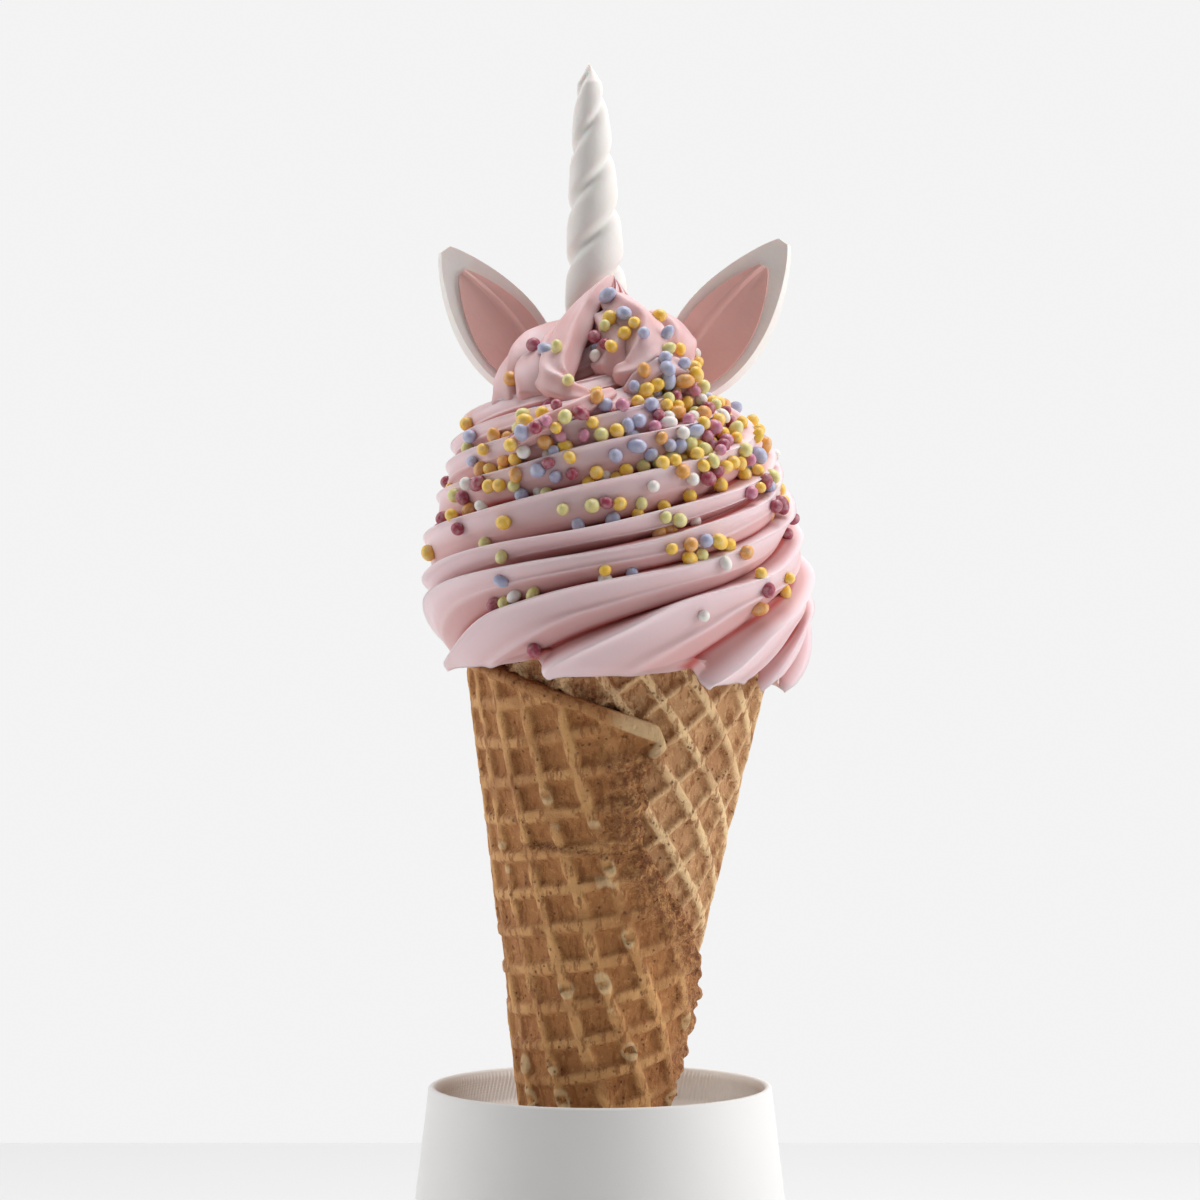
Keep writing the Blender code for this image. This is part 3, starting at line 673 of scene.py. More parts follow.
def wafer(name, floor_colour, ridge_colour):
    recipe = Recipe(name, {"Subsurface Weight": 0.08, "Subsurface Scale": 0.002})
    ridge = recipe.attribute("ridge")
    toast_and_shade = recipe.attribute("toast_and_shade")
    pale = recipe.attribute("pale")
    blotch = recipe.noise(9 * MM, 3, 0.6)
    fine = recipe.noise(1.1 * MM, 5, 0.7)
    fibre = recipe.noise(1.3 * MM, 4, 0.65, (1, 1, 0.3))
    dots = recipe.node("ShaderNodeTexVoronoi", {}, {"Vector": recipe.place(), "Scale": 1 / (1.5 * MM)},
                       "Distance")
    pores = recipe.smooth(dots, 0.1, 0.24, 1, 0) * recipe.smooth(recipe.noise(3 * MM, 2), 0.48, 0.56)
    crumb = recipe.noise(1.0 * MM, 3, 0.6)
    browned = recipe.noise(14 * MM, 3, 0.6)
    dark = recipe.noise(1.8 * MM, 4, 0.7)
    colour = recipe.mix(recipe.smooth(ridge, 0.1, 0.9), floor_colour, ridge_colour)
    layers = [
        # Toasting and painted shade together darken the walls of the ridges to brown.
        (recipe.smooth(ridge * (1 - ridge), 0.1, 0.25, 0, 0.45), WALL_TOAST_AND_SHADE_BROWN),
        (recipe.smooth(blotch, 0.45, 0.7, 0, 0.5), floor_colour),
        (recipe.smooth(fine, 0.5, 0.68, 0, 0.5), ridge_colour),
        (recipe.smooth(fibre, 0.50, 0.62, 0, 0.75), CRUST_BROWN),
        (recipe.smooth(browned, 0.52, 0.72, 0, 0.45), CRUST_BROWN),
        # Toast layers: they toast the seam, and on the inner wrap they are a painted shade above the flap.
        (toast_and_shade * recipe.smooth(dark, 0.42, 0.6) * 0.65, TOAST_AND_SHADE_BROWN),
        (toast_and_shade * recipe.smooth(crumb, 0.54, 0.62) * 0.6, ridge_colour),
        (toast_and_shade * recipe.smooth(crumb, 0.36, 0.44, 1, 0) * 0.8, TOAST_AND_SHADE_BROWN),
        (recipe.smooth(pale, 0.25, 0.8, 0, 0.6), PALE_CREAM),
        (pores * 0.55, TOAST_AND_SHADE_BROWN)]
    for mask, layer_colour in layers:
        colour = recipe.mix(mask, colour, layer_colour)
    recipe.set("Base Color", colour)
    recipe.set("Roughness", recipe.smooth(fine, 0.3, 0.7, 0.65, 0.85))
    relief = fine + fibre * 0.8 - pores * 0.8 + crumb * toast_and_shade * 2.5
    recipe.set("Normal", recipe.bump(relief, 0.6 * MM, 1.0))
    return recipe.material


# The outer wrap's darker colours are partly a darker bake and partly painted shade, and the inner wrap's
# paler ones are partly painted light.
dark_wafer = wafer("wafer_dark_bake_and_shade", DARK_FLOOR, DARK_RIDGE)
light_wafer = wafer("wafer_light_bake_and_lit", LIGHT_FLOOR, LIGHT_RIDGE)
outer_wrap = make_wrap("outer_wrap", True, dark_wafer)
make_wrap("inner_wrap", False, light_wafer)
make_core(dark_wafer)
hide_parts("waffle_cone")

# %% [markdown]
# ## The swirl
#
# A star nozzle leaves nine blades of yogurt that wind up round the cone. Cut across, a blade is like
# the tooth of a saw: a steep rise from the groove to a thin lip, and a long hollow face. The body is
# turned first. Then one function finds where on its blade each point is and moves it to suit. The
# solid model uses a plainer form of this rule.

# %% Swirl sizes
FRONT = math.radians(-90)
BLADES = 9
BLADE_DEPTH = 4.2 * MM
CREST_PHASE = 0.22
CREST_HEIGHT = 5.2 * MM
CREST_LIP = 0.14
CREST_LIP_WIDTH = 0.05
RIB_PHASE = 0.62
RIB_WIDTH = 0.07
OVERHANG = 0.14
WANDER = 0.7 * MM
JITTER = 0.22
TWIST_RATE = 128
TWIST_START = 13 * MM
TWIST_SLACK = 1.04
SAG = 0.32
UNEVEN_WIDTH = 0.22
UNEVEN_START = 2.44
LEAN = -0.081
LIP_RADIUS = 30.1 * MM
LIP_WALL = 0.6 * MM
LIP_TOP = 1.2 * MM
SHELF_HEIGHT = 0.85 * MM
PLUG_RADIUS = 24.6 * MM
PLUG_BOTTOM = -3.6 * MM
DROOP = 3.3 * MM
DROOP_TOP = 9 * MM
DROOP_FADE = 10 * MM
SWIRL_ROWS = 250
BLADE_COLUMNS = 42
PEAK_HEIGHT = 70.6 * MM
SWIRL_OUTLINE = [(up * MM, out * MM) for up, out in (
    (-0.7, 31.6), (0.8, 33.4), (5.0, 35.2), (11, 36.0), (17.5, 35.8), (25, 34.2), (32.5, 31.7), (40, 28.9),
    (44.5, 25.6), (49, 18.6), (53.5, 12.0), (60, 7.2), (65, 3.8), (69, 1.4), (70.6, 0.0))]
BLADE_STRENGTH = [(up * MM, share) for up, share in (
    (-2, 0.7), (2, 0.95), (10, 1.0), (35, 0.95), (50, 0.8), (60, 0.35), (68, 0.1))]
rim_frame = cone_frame @ Matrix.Translation((0, 0, RIM_SLANT * math.cos(HALF_ANGLE)))


# %% How a blade is shaped
def twist(height):
    height = max(height, 0)
    return TWIST_RATE * height - TWIST_SLACK * (1 - math.exp(-height / TWIST_START))


def sagged(turn):
    """The blades sag at the front, so they run flat on the left and steep on the right."""
    return turn + SAG * (math.cos(turn - FRONT) - 1)


def blade_wave(phase, second):
    """0 in the groove and 1 behind the thin lip of the crest, with a faint second rib on the face."""
    if phase < CREST_PHASE:
        return (1 + CREST_LIP) * (phase / CREST_PHASE) ** 1.5
    fall = (phase - CREST_PHASE) / (1 - CREST_PHASE)
    face = 1 - 0.75 * fall ** 0.8 - 0.25 * fall ** 6
    lip = CREST_LIP * math.exp(-(fall / CREST_LIP_WIDTH) ** 2)
    return face + lip + second * math.exp(-((phase - RIB_PHASE) / RIB_WIDTH) ** 2)


def overhang(phase):
    """How far the crest leans over the groove, as a share of a blade's width."""
    return OVERHANG * math.exp(-((phase - CREST_PHASE) / OVERHANG) ** 2)


def swirl_point(turn, radius, height):
    """Where a point of the turned body ends up, and how high on its blade's wave it lies."""
    blade = (turn - FRONT + twist(CREST_HEIGHT)) * BLADES / math.tau + CREST_PHASE
    blade += UNEVEN_WIDTH * (math.sin(2 * math.tau * blade / BLADES + UNEVEN_START) - math.sin(UNEVEN_START))
    blade += UNEVEN_WIDTH / 3 * math.sin(4 * math.tau * blade / BLADES)
    number = math.floor(blade) % BLADES
    phase = blade - math.floor(blade)
    uneven = 1 + 0.2 * math.sin(2.4 * number) + 0.3 * math.sin(height / (6 * MM) + 1.9 * number)
    depth = BLADE_DEPTH * between(BLADE_STRENGTH, height) * uneven
    second = 0.08 + 0.10 * math.sin(1.7 * number + height / (8 * MM))
    wave = blade_wave(phase, second)
    wander = WANDER * speckle(Vector((turn * 12 * MM, number * 9 * MM, height)), 6 * MM)
    radius = radius - depth * (1 - wave) + wander * wave
    if height < LIP_TOP:
        radius = max(radius, LIP_RADIUS + LIP_WALL)
    jitter = JITTER * speckle(Vector((number * 9 * MM, height, 0)), 8 * MM) * wave
    turn = sagged(turn + twist(height) - (overhang(phase) + jitter) * math.tau / BLADES)
    height = height - DROOP * wave * ease((DROOP_TOP - height) / DROOP_FADE)
    return leaned(turn, radius, height), wave


def leaned(turn, radius, height):
    return Vector((radius * math.cos(turn) + LEAN * max(height, 0), radius * math.sin(turn), height))


# %% [markdown]
# Below, the body is closed by a shelf that sits on the cone's rim and a plug that goes down into it.
# Their points aren't wound. How deep each point lies in a groove is stored, and the colours paint shade by
# it.

# %% Turn and wind the body
def swirl_profile():
    bottom = SWIRL_OUTLINE[0][0]
    profile = [(0, PEAK_HEIGHT)]
    for i in range(1, SWIRL_ROWS + 1):
        height = PEAK_HEIGHT - (PEAK_HEIGHT - bottom) * i / SWIRL_ROWS
        profile.append((between(SWIRL_OUTLINE, height), height))
    return profile + [(LIP_RADIUS, -0.4 * MM), (LIP_RADIUS, SHELF_HEIGHT), (PLUG_RADIUS, SHELF_HEIGHT),
                      (PLUG_RADIUS - 0.3 * MM, PLUG_BOTTOM), (0, PLUG_BOTTOM)]


def make_swirl(material):
    shape = spun(swirl_profile(), BLADES * BLADE_COLUMNS)
    depth_layer = shape.verts.layers.float.new("groove")
    for vertex in shape.verts:
        radius = math.hypot(vertex.co.x, vertex.co.y)
        below = vertex.co.z < SHELF_HEIGHT + 0.05 * MM and radius < LIP_RADIUS + 0.2 * MM
        turn = math.atan2(vertex.co.y, vertex.co.x)
        if below or radius < 0.01 * MM:
            vertex.co = leaned(sagged(turn), radius, vertex.co.z)
            vertex[depth_layer] = 0.5
        else:
            vertex.co, wave = swirl_point(turn, radius, vertex.co.z)
            vertex[depth_layer] = 1 - wave
    bmesh.ops.transform(shape, matrix=rim_frame, verts=shape.verts)
    piece = finish_piece("swirl", shape, material)
    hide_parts("yogurt")
    return piece


# %% [markdown]
# ## Yogurt
#
# Frozen yogurt is smooth, softly glossy and lets a little light in. The pink is pale on the crests,
# and a painted shade follows the groove value: warmer down the faces and red in the crevices. It stands
# for the shade there and for the light that has passed through more of the yogurt.

# %% Yogurt finish
PINK = (0.84, 0.64, 0.67)
PALE_PINK = (0.90, 0.73, 0.765)
# Painted shade: the warm pink down the faces and the red in the crevices.
SHADED_FACE_PINK = (0.71, 0.425, 0.415)
CREVICE_SHADE_RED = (0.54, 0.12, 0.105)


def pink_yogurt():
    recipe = Recipe("pink_yogurt", {"Subsurface Weight": 0.25, "Subsurface Scale": 0.0012,
                                    "Subsurface Radius": Vector((3.0, 1.2, 1.0)), "IOR": 1.4})
    groove = recipe.attribute("groove")
    cloud = recipe.noise(12 * MM, 3, 0.5)
    # The groove value paints shade into the colour.
    face = recipe.mix(recipe.smooth(groove, 0.0, 0.6), recipe.mix(cloud, PINK, PALE_PINK), SHADED_FACE_PINK)
    recipe.set("Base Color", recipe.mix(recipe.smooth(groove, 0.74, 1.0), face, CREVICE_SHADE_RED))
    recipe.grain(recipe.noise(1.6 * MM, 3, 0.6), (0.38, 0.5), 0.12 * MM, 0.5)
    return recipe.material


yogurt_finish = pink_yogurt()
swirl = make_swirl(yogurt_finish)

# %% [markdown]
# ## The folds round the peak
#
# Where the nozzle lifted off, the yogurt fell into soft folds: a strand that runs up to the peak, a
# hook and a loop to its right, lobes to the left and behind, and a thin ribbon across the front. Each
# is a rope along a short smooth path, sunk into the body, with the nozzle's sharp ribs. Its groove
# value is larger where it faces down, so the colours paint shade on its undersides.

# %% Fold paths: across, back, up above the rim, and radius, in millimetres
FOLD_RIBS = 5
FOLD_RIB = 0.13
FOLD_RINGS = 60
FOLD_SIDES = 40
FOLD_END_RINGS = 4
FOLDS = {
    "peak_strand": [(-1.4, -19.5, 46.5, 1.8), (-5.6, -18.8, 47.4, 2.8), (-8.4, -16.5, 50.0, 3.2),
                    (-7.0, -12.5, 54.8, 3.3), (-4.8, -8.5, 59.6, 3.0), (-2.2, -5, 64.2, 2.4),
                    (0.8, -2, 68.4, 1.5), (2.4, -0.5, 70.7, 0.5)],
    "right_hook": [(1.2, -3.5, 66.6, 2.0), (4.8, -7.5, 62.4, 3.6), (7.8, -10.5, 58.6, 4.0),
                   (8.0, -14, 54.4, 3.6), (5.6, -16.5, 51.6, 2.6), (2.2, -17, 51.2, 1.6)],
    "hook_face": [(0.4, -6, 63, 2.2), (2.6, -9.5, 58.5, 3.4), (2.6, -12, 54.5, 3.4), (0.4, -14, 51, 2.6)],
    "rear_lobe": [(4.0, 4, 58, 3.8), (9.6, 3, 60.6, 4.2), (13.2, 1.5, 57.2, 4.4), (13.4, -1, 51, 4.6)],
    "right_loop": [(5.0, -18.5, 46.8, 2.0), (7.8, -17.5, 50.4, 2.4), (12.2, -15.5, 52.0, 2.6),
                   (15.4, -13.5, 49.4, 2.7), (16.4, -13.5, 44.6, 2.5)],
    "left_lobe": [(-16.0, -11, 44.5, 3.6), (-15.4, -9, 50.6, 3.5), (-13.6, -6, 55.0, 3.4),
                  (-9.8, -2, 58.2, 3.2), (-4, 1, 60.5, 3.0)],
    "ribbon": [(-16.4, -23.5, 37.4, 0.9), (-14.4, -25.4, 38.9, 1.6), (-10.2, -26.6, 41.5, 1.9),
               (-4.6, -25.4, 44.2, 1.9), (-0.4, -22.8, 46.4, 1.7), (2.8, -20, 48.0, 1.0)],
    "left_fill": [(-12.0, -15, 45.5, 3.6), (-11.4, -11.5, 51, 4.2), (-8.6, -6, 56, 3.8), (-4, -2, 60, 3.4)],
}


# %% Make the folds
def path_point(stops, share):
    """Across, back, up and radius at a share of the way along a fold."""
    place = share * (len(stops) - 1)
    return [between([(i, stop[k]) for i, stop in enumerate(stops)], place) for k in range(4)]


def path_middle(stops, share):
    return Vector(path_point(stops, share)[:3]) * MM + Vector((0, 0, rim_frame.translation.z))


def fold_rope(stops, number):
    """Bridges ribbed rings of points along a fold's path, and closes its ends in a rounded tip."""
    shape = bmesh.new()
    before = None
    for i in range(FOLD_RINGS + 1):
        share = i / FOLD_RINGS
        radius = path_point(stops, share)[3] * MM
        way = path_middle(stops, min(share + 0.01, 1.0)) - path_middle(stops, max(share - 0.01, 0.0))
        turned = way.to_track_quat("Z", "Y").to_matrix().to_4x4()
        facing = Matrix.Translation(path_middle(stops, share)) @ turned
        end = max(1 - i / FOLD_END_RINGS, 1 - (FOLD_RINGS - i) / FOLD_END_RINGS, 0)
        ring = bmesh.ops.create_circle(shape, segments=FOLD_SIDES, radius=1)["verts"]
        edges = {edge for vertex in ring for edge in vertex.link_edges}
        for vertex in ring:
            around = math.atan2(vertex.co.y, vertex.co.x)
            rib = 1 + FOLD_RIB * (1 - 2 * abs(math.sin(FOLD_RIBS / 2 * around + 2 * share + number)))
            reach = radius * rib * max(math.sqrt(1 - end * end), 0.03)
            vertex.co = facing @ (vertex.co * reach)
        if before:
            bmesh.ops.bridge_loops(shape, edges=list(edges | before))
        before = edges
    bmesh.ops.holes_fill(shape, edges=shape.edges)
    return shape


def make_folds(material):
    shape = bmesh.new()
    for number, stops in enumerate(FOLDS.values()):
        fold = fold_rope(stops, number)
        mesh = bpy.data.meshes.new("fold")
        fold.to_mesh(mesh)
        fold.free()
        shape.from_mesh(mesh)
        bpy.data.meshes.remove(mesh)
    bmesh.ops.recalc_face_normals(shape, faces=shape.faces)
    groove_layer = shape.verts.layers.float.new("groove")
    for vertex in shape.verts:
        # Painted shade: undersides get a higher groove value, so they colour darker and redder.
        painted_underside_shade = ease(0.45 - 0.6 * vertex.normal.z)
        vertex[groove_layer] = 0.36 + 0.35 * painted_underside_shade + 0.2 * speckle(vertex.co, 5 * MM)
    piece = finish_piece("folds", shape, material)
    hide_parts("yogurt")
    return piece


folds = make_folds(yogurt_finish)

# %% [markdown]
# ## Sugar pearls
#
# The pearls are little balls of sugar in seven colours. They lie thick on the upper right and the
# left, and a few rolled down to the lower blades. Each drift has a number, a turn in degrees with its
# spread, and a height above the rim in millimetres with its spread. A ray from outside finds the
# surface, and a pearl is pressed into it, more often in a groove than on a crest.

# %% Where the pearls lie
PEARL_SEED = 7
PEARL_RADII = (1.02, 1.36)
PEARL_OVALS = (1, 1.08, 1.2, 1.4)
PEARL_OUT = 0.6
PEARL_SPACING = 0.88
PEARL_TOP = 66
CREST_CHANCE = 0.12
GROOVE_CHANCE = 1.3
TRIES_PER_PEARL = 25
PEARL_COLOURS = {
    "yellow": ((0.90, 0.57, 0.050), 0.26), "orange": ((0.76, 0.36, 0.070), 0.12),
    "lime": ((0.74, 0.68, 0.25), 0.12), "white": ((0.84, 0.81, 0.77), 0.13),
    "lilac": ((0.42, 0.44, 0.62), 0.14), "crimson": ((0.36, 0.045, 0.085), 0.15),
    "magenta": ((0.58, 0.20, 0.31), 0.08)}
PEARL_DRIFTS = [
    (95, -48, 11, 41, 4), (34, -60, 9, 34, 3), (16, -28, 12, 32, 7), (8, -86, 8, 28, 1.5),
    (40, -128, 11, 31, 3.5), (12, -118, 8, 38, 3), (10, -100, 8, 38, 3), (9, -92, 12, 22, 1.5),
    (9, -62, 7, 15, 1.2), (6, -70, 8, 20, 1.5), (8, -145, 8, 20, 3), (6, -125, 6, 4, 3),
    (3, -95, 6, 11, 1), (6, -40, 14, 6, 5), (8, -120, 20, 53, 4), (9, -80, 25, 55, 4),
    (4, -30, 20, 58, 3), (50, 45, 40, 38, 7), (50, 125, 35, 36, 8), (16, 90, 60, 20, 7)]


def pearl_places(surface, groove_of_face):
    draw = random.Random(PEARL_SEED)
    places = []
    for count, turn, turn_spread, height, height_spread in PEARL_DRIFTS:
        wanted = len(places) + count
        for _attempt in range(count * TRIES_PER_PEARL):
            if len(places) == wanted:
                break
            angle = math.radians(draw.gauss(turn, turn_spread))
            up = min(draw.gauss(height, height_spread), PEARL_TOP) * MM
            radius = draw.uniform(*PEARL_RADII) * MM
            middle = rim_frame @ Vector((LEAN * up, 0, up))
            away = Vector((math.cos(angle), math.sin(angle), 0.15)).normalized()
            hit, normal, face, _distance = surface.ray_cast(middle + away * 80 * MM, -away)
            if hit is None or draw.random() > CREST_CHANCE + GROOVE_CHANCE * groove_of_face[face]:
                continue
            spot = hit + normal * radius * PEARL_OUT
            if all((spot - other).length > (radius + size) * PEARL_SPACING for other, size in places):
                places.append((spot, radius))
    return places


# %% [markdown]
# A pearl is a small ball that is stretched a little, because real ones aren't quite round. Its colour
# is drawn by weight, and pearls of one colour are one piece.

# %% Make the pearls
def sugar(name, colour):
    recipe = Recipe("sugar_" + name, {"Roughness": 0.32, "Subsurface Weight": 0.15,
                                      "Subsurface Scale": 0.0008})
    tone = recipe.noise(1.1 * MM, 2)
    pale = tuple(channel + (0.9 - channel) * 0.25 for channel in colour)
    recipe.set("Base Color", recipe.mix(recipe.smooth(tone, 0.35, 0.75), colour, pale))
    recipe.set("Normal", recipe.bump(recipe.noise(0.6 * MM, 2), 0.08 * MM, 0.5))
    return recipe.material


def make_pearls(carriers):
    shape = bmesh.new()
    for carrier in carriers:
        shape.from_mesh(carrier.data)
    groove = shape.verts.layers.float["groove"]
    groove_of_face = [face.verts[0][groove] for face in shape.faces]
    surface = BVHTree.FromBMesh(shape)
    shape.free()
    places = pearl_places(surface, groove_of_face)
    draw = random.Random(PEARL_SEED + 1)
    names = list(PEARL_COLOURS)
    weights = [PEARL_COLOURS[name][1] for name in names]
    kinds = {name: bmesh.new() for name in names}
    for spot, radius in places:
        name = draw.choices(names, weights)[0]
        oval = draw.choice(PEARL_OVALS)
        turn = Matrix.Rotation(draw.uniform(0, math.tau), 4, Vector((draw.random(), 1, draw.random())))
        bmesh.ops.create_icosphere(kinds[name], subdivisions=3, radius=radius,
                                   matrix=Matrix.Translation(spot) @ turn @ Matrix.Diagonal((1, 1, oval, 1)))
    for name, shape in kinds.items():
        piece = finish_piece("pearls_" + name, shape, sugar(name, PEARL_COLOURS[name][0]))
        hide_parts("yogurt")
    print(len(places), "pearls")


make_pearls([swirl, folds])

# %% [markdown]
# ## The horn
#
# Two ropes of white fondant were twisted together and pressed to a point. A turned taper with two
# grooves, wound round by its height, gives the same form.

# %% Horn
HORN_BASE = Vector((-0.2 * MM, 8.5 * MM, 206 * MM))
HORN_TIP = Vector((-2.05 * MM, 8.5 * MM, 266.2 * MM))
HORN_RADIUS = 6.6 * MM
HORN_PITCH = 21 * MM
HORN_PHASE = 1.15
HORN_TAPER = 0.38
HORN_POINT = 0.62
HORN_GROOVE = 0.27
HORN_GROOVE_WIDTH = 0.42
HORN_ROWS = 220
HORN_ROW_POWER = 1.15
HORN_COLUMNS = 72


def twist_horn(vertex):
    radius = math.hypot(vertex.co.x, vertex.co.y)
    if radius < 0.01 * MM:
        return
    strand = math.atan2(vertex.co.y, vertex.co.x)
    groove = math.exp(-(math.cos(strand) / HORN_GROOVE_WIDTH) ** 2)
    turn = strand + HORN_PHASE + vertex.co.z * math.tau / HORN_PITCH
    width = radius * (1 - HORN_GROOVE * groove) + 0.08 * MM * speckle(vertex.co, 6 * MM)
    vertex.co = Vector((width * math.cos(turn), width * math.sin(turn), vertex.co.z))


def make_horn(material):
    axis = HORN_TIP - HORN_BASE
    profile = [(0, axis.length)]
    for i in range(1, HORN_ROWS + 1):
        along = 1 - (i / HORN_ROWS) ** HORN_ROW_POWER
        bulge = HORN_RADIUS * (1 - along) ** HORN_TAPER
        profile.append((min(bulge, HORN_POINT * axis.length * (1 - along)), axis.length * along))
    profile.append((0, 0))
    shape = spun(profile, HORN_COLUMNS)
    for vertex in shape.verts:
        twist_horn(vertex)
    lean = Vector((0, 0, 1)).rotation_difference(axis).to_matrix().to_4x4()
    bmesh.ops.transform(shape, matrix=Matrix.Translation(HORN_BASE) @ lean, verts=shape.verts)
    piece = finish_piece("horn_twist", shape, material)
    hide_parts("horn")


# %% [markdown]
# ## The ears
#
# Each ear is a leaf cut from rolled white fondant, with a smaller pink leaf pressed on its front that
# has a raised line to one side. A flat grid is drawn into the leaf's outline and cupped forwards, and
# Solidify, Bevel and Subdivision Surface turn it into a soft thick shape.

# %% Ear sizes
EAR_THICKNESS = 2.4 * MM
PANEL_THICKNESS = 1.2 * MM
PANEL_SHARE = 0.76
PANEL_RISE = 2.5 * MM
EAR_DEPTH = 7 * MM
EAR_CUP = 20
EAR_BEND = 0.1
PANEL_PRESS = 0.2 * MM
CREASE_PLACE = 0.45
CREASE_WIDTH = 0.07
CREASE_HEIGHT = 0.35 * MM
HOLLOW = 0.5 * MM
LEAF_COLUMNS = 36
LEAF_ROWS = 40
EARS = {
    "ear_left": {"foot": (-9.9, 204.0), "tip": (-29.2, 230.9), "half_width": 8.2, "yaw": 12},
    "ear_right": {"foot": (13.8, 203.6), "tip": (34.6, 232.3), "half_width": 8.6, "yaw": -12},
}


# %% Ear shape
def leaf_width(along):
    return math.sin(math.pi * min(along, 1.0) ** 0.85) ** 0.72 * (1 - 0.12 * along) + 0.02


def leaf(name, length, half_width, thickness, crease, matrix, material):
    """A leaf from its foot up to its tip. The crease is how far across it the raised line lies."""
    shape = bmesh.new()
    bmesh.ops.create_grid(shape, x_segments=LEAF_COLUMNS, y_segments=LEAF_ROWS, size=1)
    for vertex in shape.verts:
        across = vertex.co.x
        along = (vertex.co.y + 1) / 2
        width = half_width * leaf_width(0.04 + 0.94 * along)
        back = -EAR_CUP * (width * across) ** 2 - EAR_BEND * length * (along - 0.4) ** 2
        if crease:
            fold = math.exp(-((across - crease) / CREASE_WIDTH) ** 2) * ease(along / 0.3)
            back += HOLLOW * ease(abs(across - crease * 2.2) - 0.2) - CREASE_HEIGHT * fold
        vertex.co = Vector((width * across, back, length * along))
    piece = finish_piece(name, shape, material)
    thick = piece.modifiers.new("thickness", "SOLIDIFY")
    thick.thickness = thickness
    thick.offset = 0
    rounded = piece.modifiers.new("round", "BEVEL")
    rounded.width = thickness * 0.4
    rounded.segments = 3
    rounded.limit_method = "ANGLE"
    rounded.angle_limit = math.radians(50)
    soft = piece.modifiers.new("soft", "SUBSURF")
    soft.levels = 1
    soft.render_levels = 1
    piece.data.transform(matrix)
    return piece


def make_ears(white, pink):
    for name, place in EARS.items():
        across, up = place["foot"]
        lean = math.atan2(place["tip"][0] - across, place["tip"][1] - up)
        stand = (Matrix.Translation((across * MM, EAR_DEPTH, up * MM)) @ Matrix.Rotation(lean, 4, "Y")
                 @ Matrix.Rotation(math.radians(place["yaw"]), 4, "Z"))
        length = math.dist(place["foot"], place["tip"]) * MM
        width = place["half_width"] * MM
        upper_side = 1 if across < 0 else -1
        ear = leaf(name + "_leaf", length, width, EAR_THICKNESS, 0, stand, white)
        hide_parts(name)
        forward = PANEL_PRESS - (EAR_THICKNESS + PANEL_THICKNESS) / 2
        inset = Matrix.Translation((0, forward, PANEL_RISE))
        panel = leaf(name + "_panel", length * PANEL_SHARE, width * PANEL_SHARE, PANEL_THICKNESS,
                     CREASE_PLACE * upper_side, stand @ inset, pink)
        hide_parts(name + "_inner")


# %% [markdown]
# ## Fondant
#
# Fondant is sugar dough: matt, dense and a little waxy, with soft dents from the fingers that rolled
# it. White fondant is warm white; the pink is dusty.

# %% Fondant finish
def fondant(name, light, dark):
    recipe = Recipe("fondant_" + name, {"Subsurface Weight": 0.2, "Subsurface Scale": 0.0015})
    recipe.set("Base Color", recipe.mix(recipe.noise(7 * MM, 3), dark, light))
    recipe.grain(recipe.noise(3.0 * MM, 3, 0.55), (0.5, 0.68), 0.25 * MM, 0.5)
    return recipe.material


white_fondant = fondant("white", (0.90, 0.87, 0.84), (0.85, 0.81, 0.77))
pink_fondant = fondant("pink", (0.86, 0.54, 0.50), (0.78, 0.44, 0.40))
make_horn(white_fondant)
make_ears(white_fondant, pink_fondant)

# %% [markdown]
# ## Table, backdrop, light and camera
#
# The picture was taken level with the swirl through a long lens, in front of a white sweep. Large
# soft lights hang at both sides and above, and the world is bright behind the object and dim behind
# the camera, so the edges are bright and the front is gently shaded.

# %% Table and backdrop
TABLE_BACK = 443 * MM
TABLE_SIDE = 2
BACKDROP_LEVEL = 0.9
FRONT_LEVEL = 0.08
FADE_START = -0.9
FADE_END = 0.75

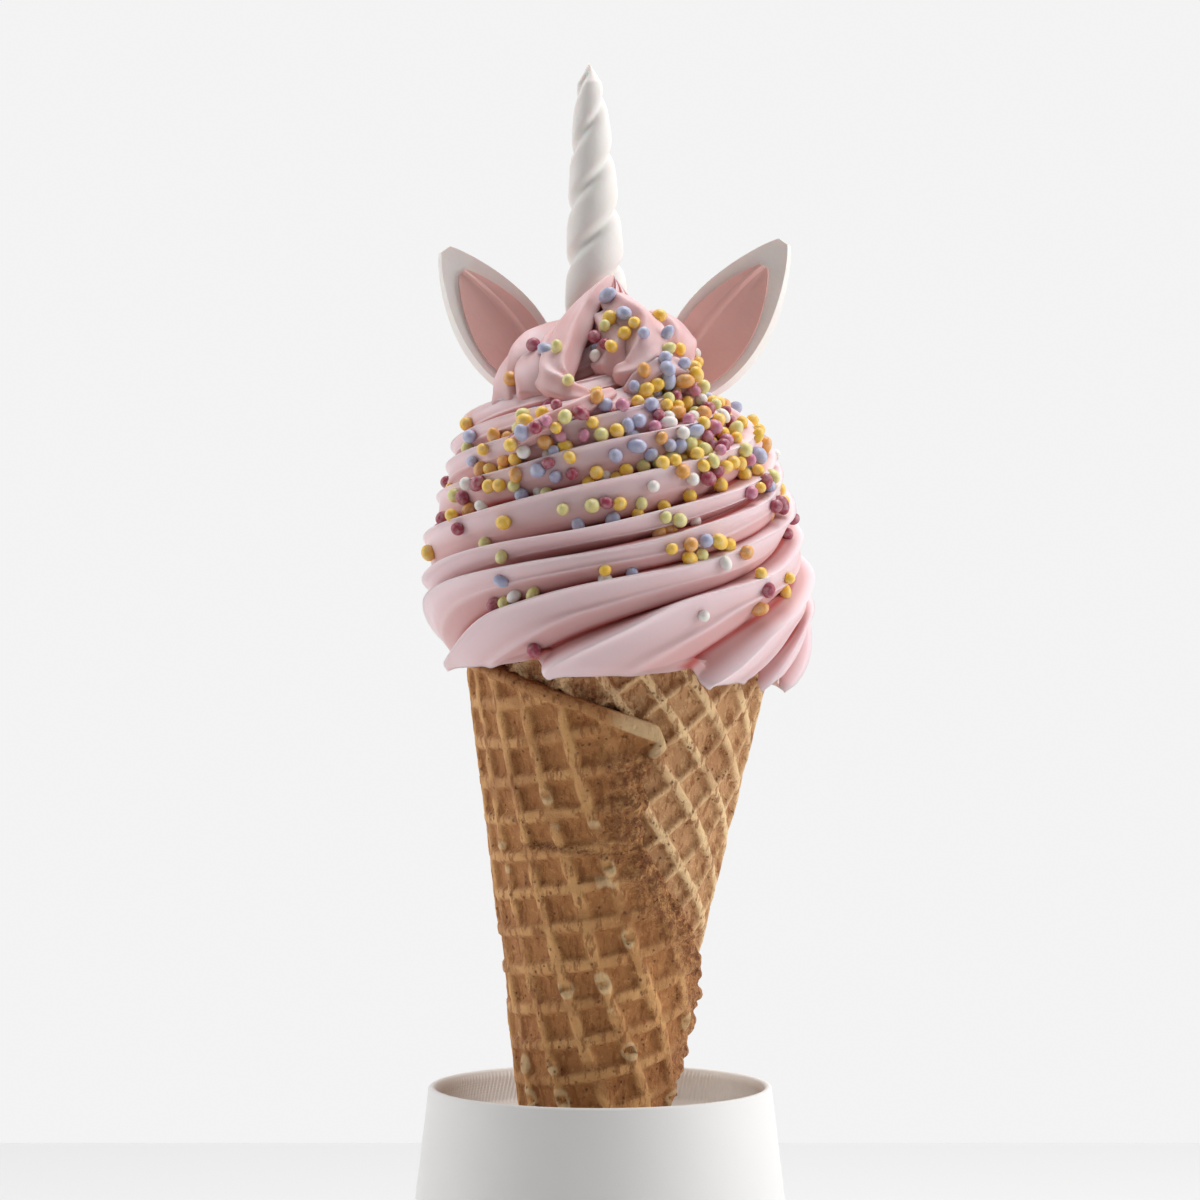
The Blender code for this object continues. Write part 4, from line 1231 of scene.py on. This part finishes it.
shape = bmesh.new()
corners = [(-TABLE_SIDE, -TABLE_SIDE, 0), (TABLE_SIDE, -TABLE_SIDE, 0), (TABLE_SIDE, TABLE_BACK, 0),
           (-TABLE_SIDE, TABLE_BACK, 0)]
shape.faces.new([shape.verts.new(corner) for corner in corners])
table_white = Recipe("table_white", {"Base Color": (0.74, 0.74, 0.74), "Roughness": 0.6}).material
linked("table", shape, table_white)

world = bpy.data.worlds.new("studio")
bpy.context.scene.world = world
world.use_nodes = True
sky = Nodes(world.node_tree)
way = sky.node("ShaderNodeTexCoord", {}, {}, "Generated")
behind = sky.node("ShaderNodeSeparateXYZ", {}, {0: way}, "Y")
glow = sky.tree.nodes["Background"].inputs
feed(sky.tree, glow["Strength"], sky.smooth(behind, FADE_START, FADE_END, FRONT_LEVEL, BACKDROP_LEVEL))
feed(sky.tree, glow["Color"], (1, 1, 1))

# %% Lights and camera: place, size and power of each light
CAMERA_DISTANCE = 682 * MM
CAMERA_HEIGHT = 165.7 * MM
LENS = 110.6
LIGHT_TARGET = Vector((0, 0, 0.17))
LIGHTS = {"right": ((0.95, -0.15, 0.42), (0.7, 1.0), 6), "left": ((-0.95, 0.1, 0.4), (0.5, 0.9), 3),
          "top": ((0.15, 0.1, 1.1), (0.8, 0.6), 7)}

for name, (place, size, power) in LIGHTS.items():
    light = bpy.data.lights.new(name, "AREA")
    light.shape = "RECTANGLE"
    light.size, light.size_y = size
    light.energy = power
    lamp = bpy.data.objects.new(name, light)
    bpy.context.scene.collection.objects.link(lamp)
    lamp.location = place
    lamp.rotation_euler = (LIGHT_TARGET - Vector(place)).to_track_quat("-Z", "Y").to_euler()

camera_data = bpy.data.cameras.new("camera")
camera_data.lens = LENS
camera_data.sensor_width = 36
camera = bpy.data.objects.new("camera", camera_data)
bpy.context.scene.collection.objects.link(camera)
camera.location = (0, -CAMERA_DISTANCE, CAMERA_HEIGHT)
camera.rotation_euler = (math.pi / 2, 0, 0)
bpy.context.scene.camera = camera
bpy.context.scene.view_settings.view_transform = "Standard"
print(len(LIGHTS), "lights and a lens of", LENS, "mm")
